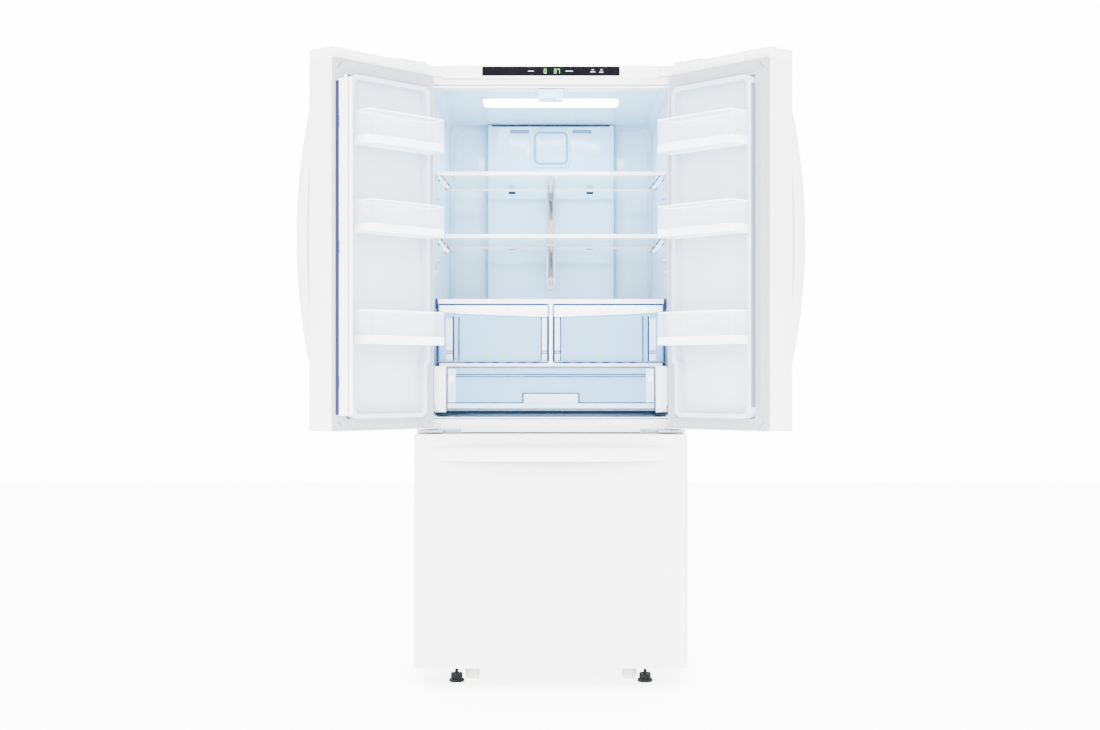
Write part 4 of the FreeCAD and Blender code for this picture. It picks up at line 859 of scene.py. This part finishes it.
def pantry():
    """The wide shallow drawer with a grip outlined in painted shade lines, bands, corner clips, and painted shade
    lines along its bands and top.
    """
    node = "pantry_drawer"
    low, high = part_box(node)
    mesh = soften(copied(node), 0.0012, 2)
    piece(node + "_tub", mesh, CRISPER_CLEAR, node, "clear_plastic", node)
    face = low.y - 0.0008
    half, bottom, top = 0.0795, low.z + 0.022, low.z + 0.049
    inner, outer = 0.271, 0.2935
    grip = rounded_block((-half, face, bottom), (half, low.y + 0.001, top), 0.003, "y",
                         0.0003, 5)
    piece("pantry_grip", grip, FROSTED, node)
    slips("pantry_bands", FROSTED, node,
          ((-0.294, face, low.z + 0.0055), (0.294, low.y + 0.001, low.z + 0.020)),
          *both((-outer, face, low.z + 0.020), (-inner, low.y + 0.001, high.z - 0.003)))
    slips("pantry_clips", FINISHES["white_plastic"], node,
          *both((-0.291, face - 0.0004, high.z - 0.039), (-0.276, face, high.z - 0.023)))
    # Painted shade lines round the grip, along the bands and along the top edge.
    proud, grip_proud = face - 0.0003, low.y - 0.0012
    lines = [
        ((-inner, proud, high.z - 0.0205), (inner, low.y, high.z - 0.0180)),
        ((-inner, proud, high.z - 0.0268), (inner, low.y, high.z - 0.0244)),
        ((-outer, proud, low.z + 0.0210), (-half, low.y, low.z + 0.0235)),
        ((half, proud, low.z + 0.0210), (outer, low.y, low.z + 0.0235)),
        ((-outer, proud, low.z + 0.0035), (outer, low.y, low.z + 0.0060)),
        ((-half, grip_proud, top - 0.0016), (half, low.y, top + 0.0016)),
        *both((-half - 0.0020, grip_proud, bottom), (-half + 0.0020, low.y, top)),
    ]
    slips("pantry_shade_lines", BLUE_SHADE_LINE, node, *lines)
    slips("pantry_top_shade_line", PALE_SHADE_LINE, node,
          ((-0.292, face, high.z - 0.0022), (0.292, low.y, high.z - 0.0004)))


def arc_strip(centre, radius, start, end, width, depth):
    """A thin curved line facing the front, drawn about a centre between two angles."""
    mesh = bmesh.new()
    bmesh.ops.create_grid(mesh, x_segments=10, y_segments=1, size=0.5)
    for corner in mesh.verts:
        angle = math.radians(start + (end - start) * (corner.co.x + 0.5))
        reach = radius + width * corner.co.y
        corner.co = (centre[0] + reach * math.cos(angle), centre[1],
                     centre[2] + reach * math.sin(angle))
    sheet = bmesh.ops.extrude_face_region(mesh, geom=mesh.faces[:])
    moved = [part for part in sheet["geom"] if isinstance(part, bmesh.types.BMVert)]
    bmesh.ops.translate(mesh, vec=(0, depth, 0), verts=moved)
    return mesh


def deck():
    """The cover and deck round the crispers, painted shade lines and dashes on the middle post and deck front, and
    painted shadow in the gaps and round the rail corners beside and below the drawers.
    """
    softened("crisper_cover", 0.0018)
    softened("crisper_frame", 0.0015)
    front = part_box("left_crisper")[0].y
    crisper_low, crisper_high = (corner.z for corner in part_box("left_crisper"))
    deck_front = front - 0.001
    # Painted shade lines down the middle post beside the crispers.
    slips("post_shade_lines", BLUE_SHADE_LINE, "cabinet",
          *both((0.0051, front - 0.0002, crisper_low), (0.0077, front + 0.003, crisper_high)))
    slips("post_top_shade_lines", PALE_SHADE_LINE, "cabinet",
          *both((0.0036, deck_front - 0.0006, crisper_high - 0.036),
                (0.0074, front + 0.001, crisper_high + 0.001)))
    # Dark dashes of painted shade along the deck front, and a painted shade line along its edge.
    dashes, outermost, pitch, half_dash = [], 0.236, 0.0385, 0.009
    for number in range(6):
        middle = outermost - number * pitch
        dashes += both((middle - half_dash, deck_front - 0.0011, crisper_low - 0.0046),
                       (middle + half_dash, deck_front + 0.0002, crisper_low - 0.0004))
    slips("deck_dash_shades", NAVY_GAP_SHADOW, "cabinet", *dashes)
    slips("deck_shade_line", BLUE_SHADE_LINE, "cabinet",
          *both((0.008, deck_front - 0.0008, crisper_low - 0.0038),
                (0.3265, deck_front + 0.0002, crisper_low - 0.0008)))
    # Painted shadow in the gaps between the crispers and the liner walls.
    wall_gap = 0.3245
    slips("side_gap_shadows", NAVY_GAP_SHADOW, "cabinet",
          *both((wall_gap, front + 0.0006, crisper_low), (0.3275, front + 0.003, crisper_high)),
          *both((wall_gap, deck_front - 0.002, crisper_high - 0.012),
                (0.3318, deck_front - 0.0004, crisper_high + 0.017)),
          *both((0.3205, deck_front - 0.0012, 0.8935), (0.3285, deck_front, crisper_low - 0.004)))
    # Painted shadow in the gaps below and beside the pantry drawer.
    pantry_low, pantry_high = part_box("pantry_drawer")
    level, pantry_side, split = pantry_low.z, 0.2963, pantry_high.z - 0.020
    gap_front, gap_back = pantry_low.y - 0.002, pantry_low.y + 0.001
    slips("pantry_gap_shadow", DARK_GAP_SHADOW, "cabinet",
          ((-0.2985, pantry_low.y - 0.0006, level - 0.0085),
           (0.2985, pantry_low.y + 0.002, level - 0.0004)),
          *both((pantry_side, gap_front, level - 0.004), (0.2995, gap_back, split)))
    slips("pantry_side_gap_shadow", BLUE_SHADE_LINE, "cabinet",
          *both((pantry_side, gap_front, split), (0.2990, gap_back, pantry_high.z)))
    # Painted shadow curves round the lower corners of the rail flanges.
    rail_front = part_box("crisper_frame")[0].y
    curves, rail_middle, radius, sweep = [], 0.3075, 0.0225, 78
    for side, start in ((-1, 180), (1, 360)):
        curves.append(arc_strip((side * rail_middle, rail_front - 0.0006, level + 0.0165), radius,
                                start, start - side * sweep, 0.0016, 0.0008))
    piece("rail_curve_shadows", joined(*curves), NAVY_GAP_SHADOW, "cabinet")


def ceiling_strip():
    """The white strip along the front edge of the sloping ceiling."""
    depth, thickness, clearance = 0.055, 0.0007, 0.0022
    low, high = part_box("fridge_liner")
    slope = math.tan(math.radians(2.2))
    width = high.x - 0.030
    strip = block((-width, low.y + 0.001, -thickness), (width, low.y + 0.001 + depth, 0.0))
    soften(strip, 0.0003, 2)
    for corner in strip.verts:
        corner.co.z += high.z - clearance - slope * (corner.co.y - low.y)
    piece("ceiling_strip", strip, FINISHES["white_plastic"], "cabinet")


def top_fittings():
    softened("top_trim", 0.0015)
    softened("hinge_covers", 0.003)
    softened("hinge_brackets", 0.0008)
    softened("mullion_guide", 0.0018)
    low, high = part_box("control_display")
    panel = rounded_block(low, high, 0.002, "y", 0.0004, 4)
    piece("display_panel", panel, FINISHES["black_glass"], "cabinet", "black_glass",
          "control_display")
    front = low.y - 0.0002
    middle = (low.z + high.z) / 2
    strokes = []
    for place, digit in ((-0.016, "0"), (0.012, "3"), (0.0215, "7")):
        strokes += seven_segment(place, middle, front, digit)
    piece("display_digits", joined(*strokes), GREEN_LIGHT, "cabinet")
    marks = []
    for place, width, level in ((-0.056, 0.016, 0.0), (0.052, 0.02, 0.0), (0.118, 0.014, -0.002),
                                (0.142, 0.012, -0.003), (0.118, 0.006, 0.004),
                                (0.142, 0.006, 0.004)):
        marks.append(rounded_block((place - width / 2, front - 0.0001, middle + level - 0.0007),
                                   (place + width / 2, front + 0.0003, middle + level + 0.0007),
                                   0.0003, "y", 0.00005, 2))
    piece("display_marks", joined(*marks), PALE_LIGHT, "cabinet")


SEGMENTS = {"0": "abcdef", "3": "abgcd", "7": "abc"}


def seven_segment(x, z, front, digit):
    """The lit strokes of one plain number."""
    half, tall, thick = 0.0028, 0.0055, 0.0006
    strokes = {
        "a": (-half, half, tall, tall), "d": (-half, half, -tall, -tall), "g": (-half, half, 0, 0),
        "b": (half, half, 0, tall), "c": (half, half, -tall, 0),
        "f": (-half, -half, 0, tall), "e": (-half, -half, -tall, 0),
    }
    made = []
    for name in SEGMENTS[digit]:
        left, right, low, high = strokes[name]
        made.append(rounded_block((x + left - thick, front - 0.0001, z + low - thick),
                                  (x + right + thick, front + 0.0003, z + high + thick),
                                  0.0004, "y", 0.00005, 2))
    return made


# ---- case, drawer front and base ----

def case_and_drawer():
    softened("cabinet_wrapper", 0.0004)
    softened("center_rail", 0.0008)
    softened("freezer_drawer_skin", 0.003)
    softened("freezer_drawer_handle", 0.0065, segments=5)
    for name in ("left", "right"):
        softened(f"leveling_leg_{name}", 0.0012)
        softened(f"front_roller_{name}", 0.0015)
        softened(f"rear_roller_{name}", 0.0015)


def opening_lip():
    """The moulded lip round the mouth of the fresh food space, with painted shade lines above and below the mouth
    and a painted shadow line above the freezer drawer.
    """
    low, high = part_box("fridge_liner")
    outer, inner, half_line, upper_line, lower_line = 0.009, 0.0022, 0.338, 0.0024, 0.0026
    lines_x = (low.x - outer, low.x + inner, high.x - inner, high.x + outer)
    lines_z = (low.z - outer, low.z + inner, high.z - inner, high.z + 0.0015)
    mesh = ring(lines_x, lines_z, low.y, low.y - 0.00015, 0.0001)
    piece("opening_lip", mesh, FINISHES["white_plastic"], "cabinet")
    top, floor = high.z + 0.0022, low.z - 0.0035
    slips("lip_shade_line", GREY_GAP_SHADE, "cabinet",
          ((-half_line, low.y - 0.0002, top), (half_line, low.y + 0.0005, top + upper_line)))
    slips("lip_lower_shade_line", GREY_GAP_SHADE, "cabinet",
          ((-half_line, low.y - 0.0002, floor), (half_line, low.y + 0.0005, floor + lower_line)))
    half_gap, gap_low, gap_high = 0.252, 0.7015, 0.7080
    slips("drawer_gap_shadow", GREY_GAP_SHADE, "cabinet",
          ((-half_gap, low.y - 0.0010, gap_low), (half_gap, low.y + 0.0005, gap_high)))


def hinge_marks():
    """Screws and round holes in the plates of the middle hinges."""
    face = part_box("fridge_liner")[0].y - 0.003
    screw_level, hole_low, hole_high, hole_half = 0.7130, 0.7090, 0.7160, 0.0035
    screws, rings = [], []
    for side in (-1, 1):
        for x, half in ((0.357, 0.0018), (0.339, 0.0032), (0.324, 0.0020)):
            screws.append(rounded_block((side * x - half, face - 0.0016, screw_level - half),
                                        (side * x + half, face + 0.001, screw_level + half),
                                        half * 0.9, "y", 0.0003, 5))
        for x in (0.296, 0.262):
            rings.append(rounded_block((side * x - hole_half, face - 0.0012, hole_low),
                                       (side * x + hole_half, face + 0.001, hole_high), 0.0033,
                                       "y", 0.0004, 6))
    # The screw heads are drawn in the near-black painted shade finish.
    piece("hinge_screws", joined(*screws), GREY_GAP_SHADE, "cabinet")
    piece("hinge_plate_holes", joined(*rings), FINISHES["plated_steel"], "cabinet")


def back_details():
    """Pressed ribs on the back panel."""
    low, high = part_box("cabinet_back")
    ribs = []
    for number in range(5):
        x = low.x + (high.x - low.x) * (number + 1) / 6
        ribs.append(rounded_block((x - 0.018, high.y - 0.0006, low.z + 0.12),
                                  (x + 0.018, high.y - 0.0001, high.z - 0.12), 0.017, "y",
                                  0.0002, 6))
    piece("back_ribs", joined(*ribs), FINISHES["galvanised_steel"], "cabinet")


def kept_finishes():
    """Every part still shown as packed gets its slot's finish."""
    for name, thing in nodes.items():
        for slot in thing.material_slots:
            slot.link = "OBJECT"
            slot.material = FINISHES[SLOT_OF[name]].material


# ---- surroundings ----

def light(name, spot, aim, energy, size, colour=(1, 1, 1)):
    """A rectangular lamp that lights the scene but isn't seen or mirrored itself."""
    data = bpy.data.lights.new(name, "AREA")
    data.energy = energy
    data.color = colour
    data.shape = "RECTANGLE"
    data.size, data.size_y = size
    thing = bpy.data.objects.new(name, data)
    thing.location = spot
    thing.rotation_euler = (Vector(aim) - Vector(spot)).to_track_quat("-Z", "Y").to_euler()
    thing.visible_camera = False
    thing.visible_glossy = False
    bpy.context.scene.collection.objects.link(thing)


def room():
    """A bright room: whitest behind the cabinet and overhead, dimmer to the two sides."""
    world = bpy.data.worlds.new("studio")
    bpy.context.scene.world = world
    world.use_nodes = True
    made = Nodes(world.node_tree)
    background = made.tree.nodes["Background"]
    background.inputs["Color"].default_value = (1.0, 1.0, 1.0, 1.0)
    way = made.node("ShaderNodeTexCoord", output="Generated")
    across, ahead, up = (made.node("ShaderNodeSeparateXYZ", way, output=axis) for axis in "XYZ")
    sideways = made.node("ShaderNodeMath", across, operation="ABSOLUTE")
    all_round, behind, overhead, less_at_sides = 4.6, 10.5, 9.0, 2.6
    strength = (ahead.ramp(0.45, 0.85) * behind + up.clipped() ** 2 * overhead
                - sideways.ramp(0.2, 0.7) * less_at_sides + all_round)
    made.feed(background.inputs["Strength"], strength)


def studio():
    ground = bmesh.new()
    bmesh.ops.create_grid(ground, x_segments=8, y_segments=8, size=9)
    data = bpy.data.meshes.new("floor")
    ground.to_mesh(data)
    ground.free()
    floor = bpy.data.objects.new("floor", data)
    bpy.context.scene.collection.objects.link(floor)
    made = Finish("studio_floor", Roughness=0.75, Emission_Strength=4.0)
    cloud = made.noise(made.place(), 3)
    shade = made.between(cloud, (0.90, 0.90, 0.90), (0.93, 0.93, 0.93))
    made.drive(Base_Color=shade, Emission_Color=shade)
    data.materials.append(made.material)
    room()
    light("key", (-0.5, -4.4, 2.8), (0, 0, 0.9), 300, (2.5, 2.5))
    light("fill", (0.5, -4.4, 2.2), (0, 0, 0.9), 240, (2.5, 2.5))
    lens_low, lens_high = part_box("ceiling_lamp")
    middle_y = (lens_low.y + lens_high.y) / 2
    cold = (0.72, 0.88, 1.0)
    light("lamp_glow", (0, middle_y, lens_low.z - 0.012), (0, middle_y, 0.8), 5.0,
          (0.38, 0.08), cold)
    for name, node, drop, energy in (("crisper_glow", "crisper_cover", 0.004, 3.0),
                                     ("pantry_glow", "left_crisper", 0.016, 2.2)):
        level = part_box(node)[0].z - drop
        light(name, (0, middle_y, level), (0, middle_y, 0), energy, (0.55, 0.3), cold)


def camera():
    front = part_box("cabinet_wrapper")[0].y
    distance, height = 4.6106, 0.8491
    data = bpy.data.cameras.new("camera")
    data.lens = 53.56
    data.sensor_width = 36
    data.shift_x = -0.0008
    data.shift_y = 0.0155
    thing = bpy.data.objects.new("camera", data)
    thing.location = (0, front - distance, height)
    thing.rotation_euler = (math.pi / 2, 0, 0)
    bpy.context.scene.collection.objects.link(thing)
    bpy.context.scene.camera = thing


def build():
    camera()
    studio()
    kept_finishes()
    case_and_drawer()
    opening_lip()
    hinge_marks()
    top_fittings()
    liner_walls()
    side_ledges()
    ceiling_strip()
    back_panels()
    duct_and_filter()
    lamp()
    shelves()
    crisper_fronts()
    pantry()
    deck()
    door_shells()
    door_liners()
    door_seals()
    door_lines()
    door_bins()
    door_handles()
    folding_bar()
    back_details()


build()
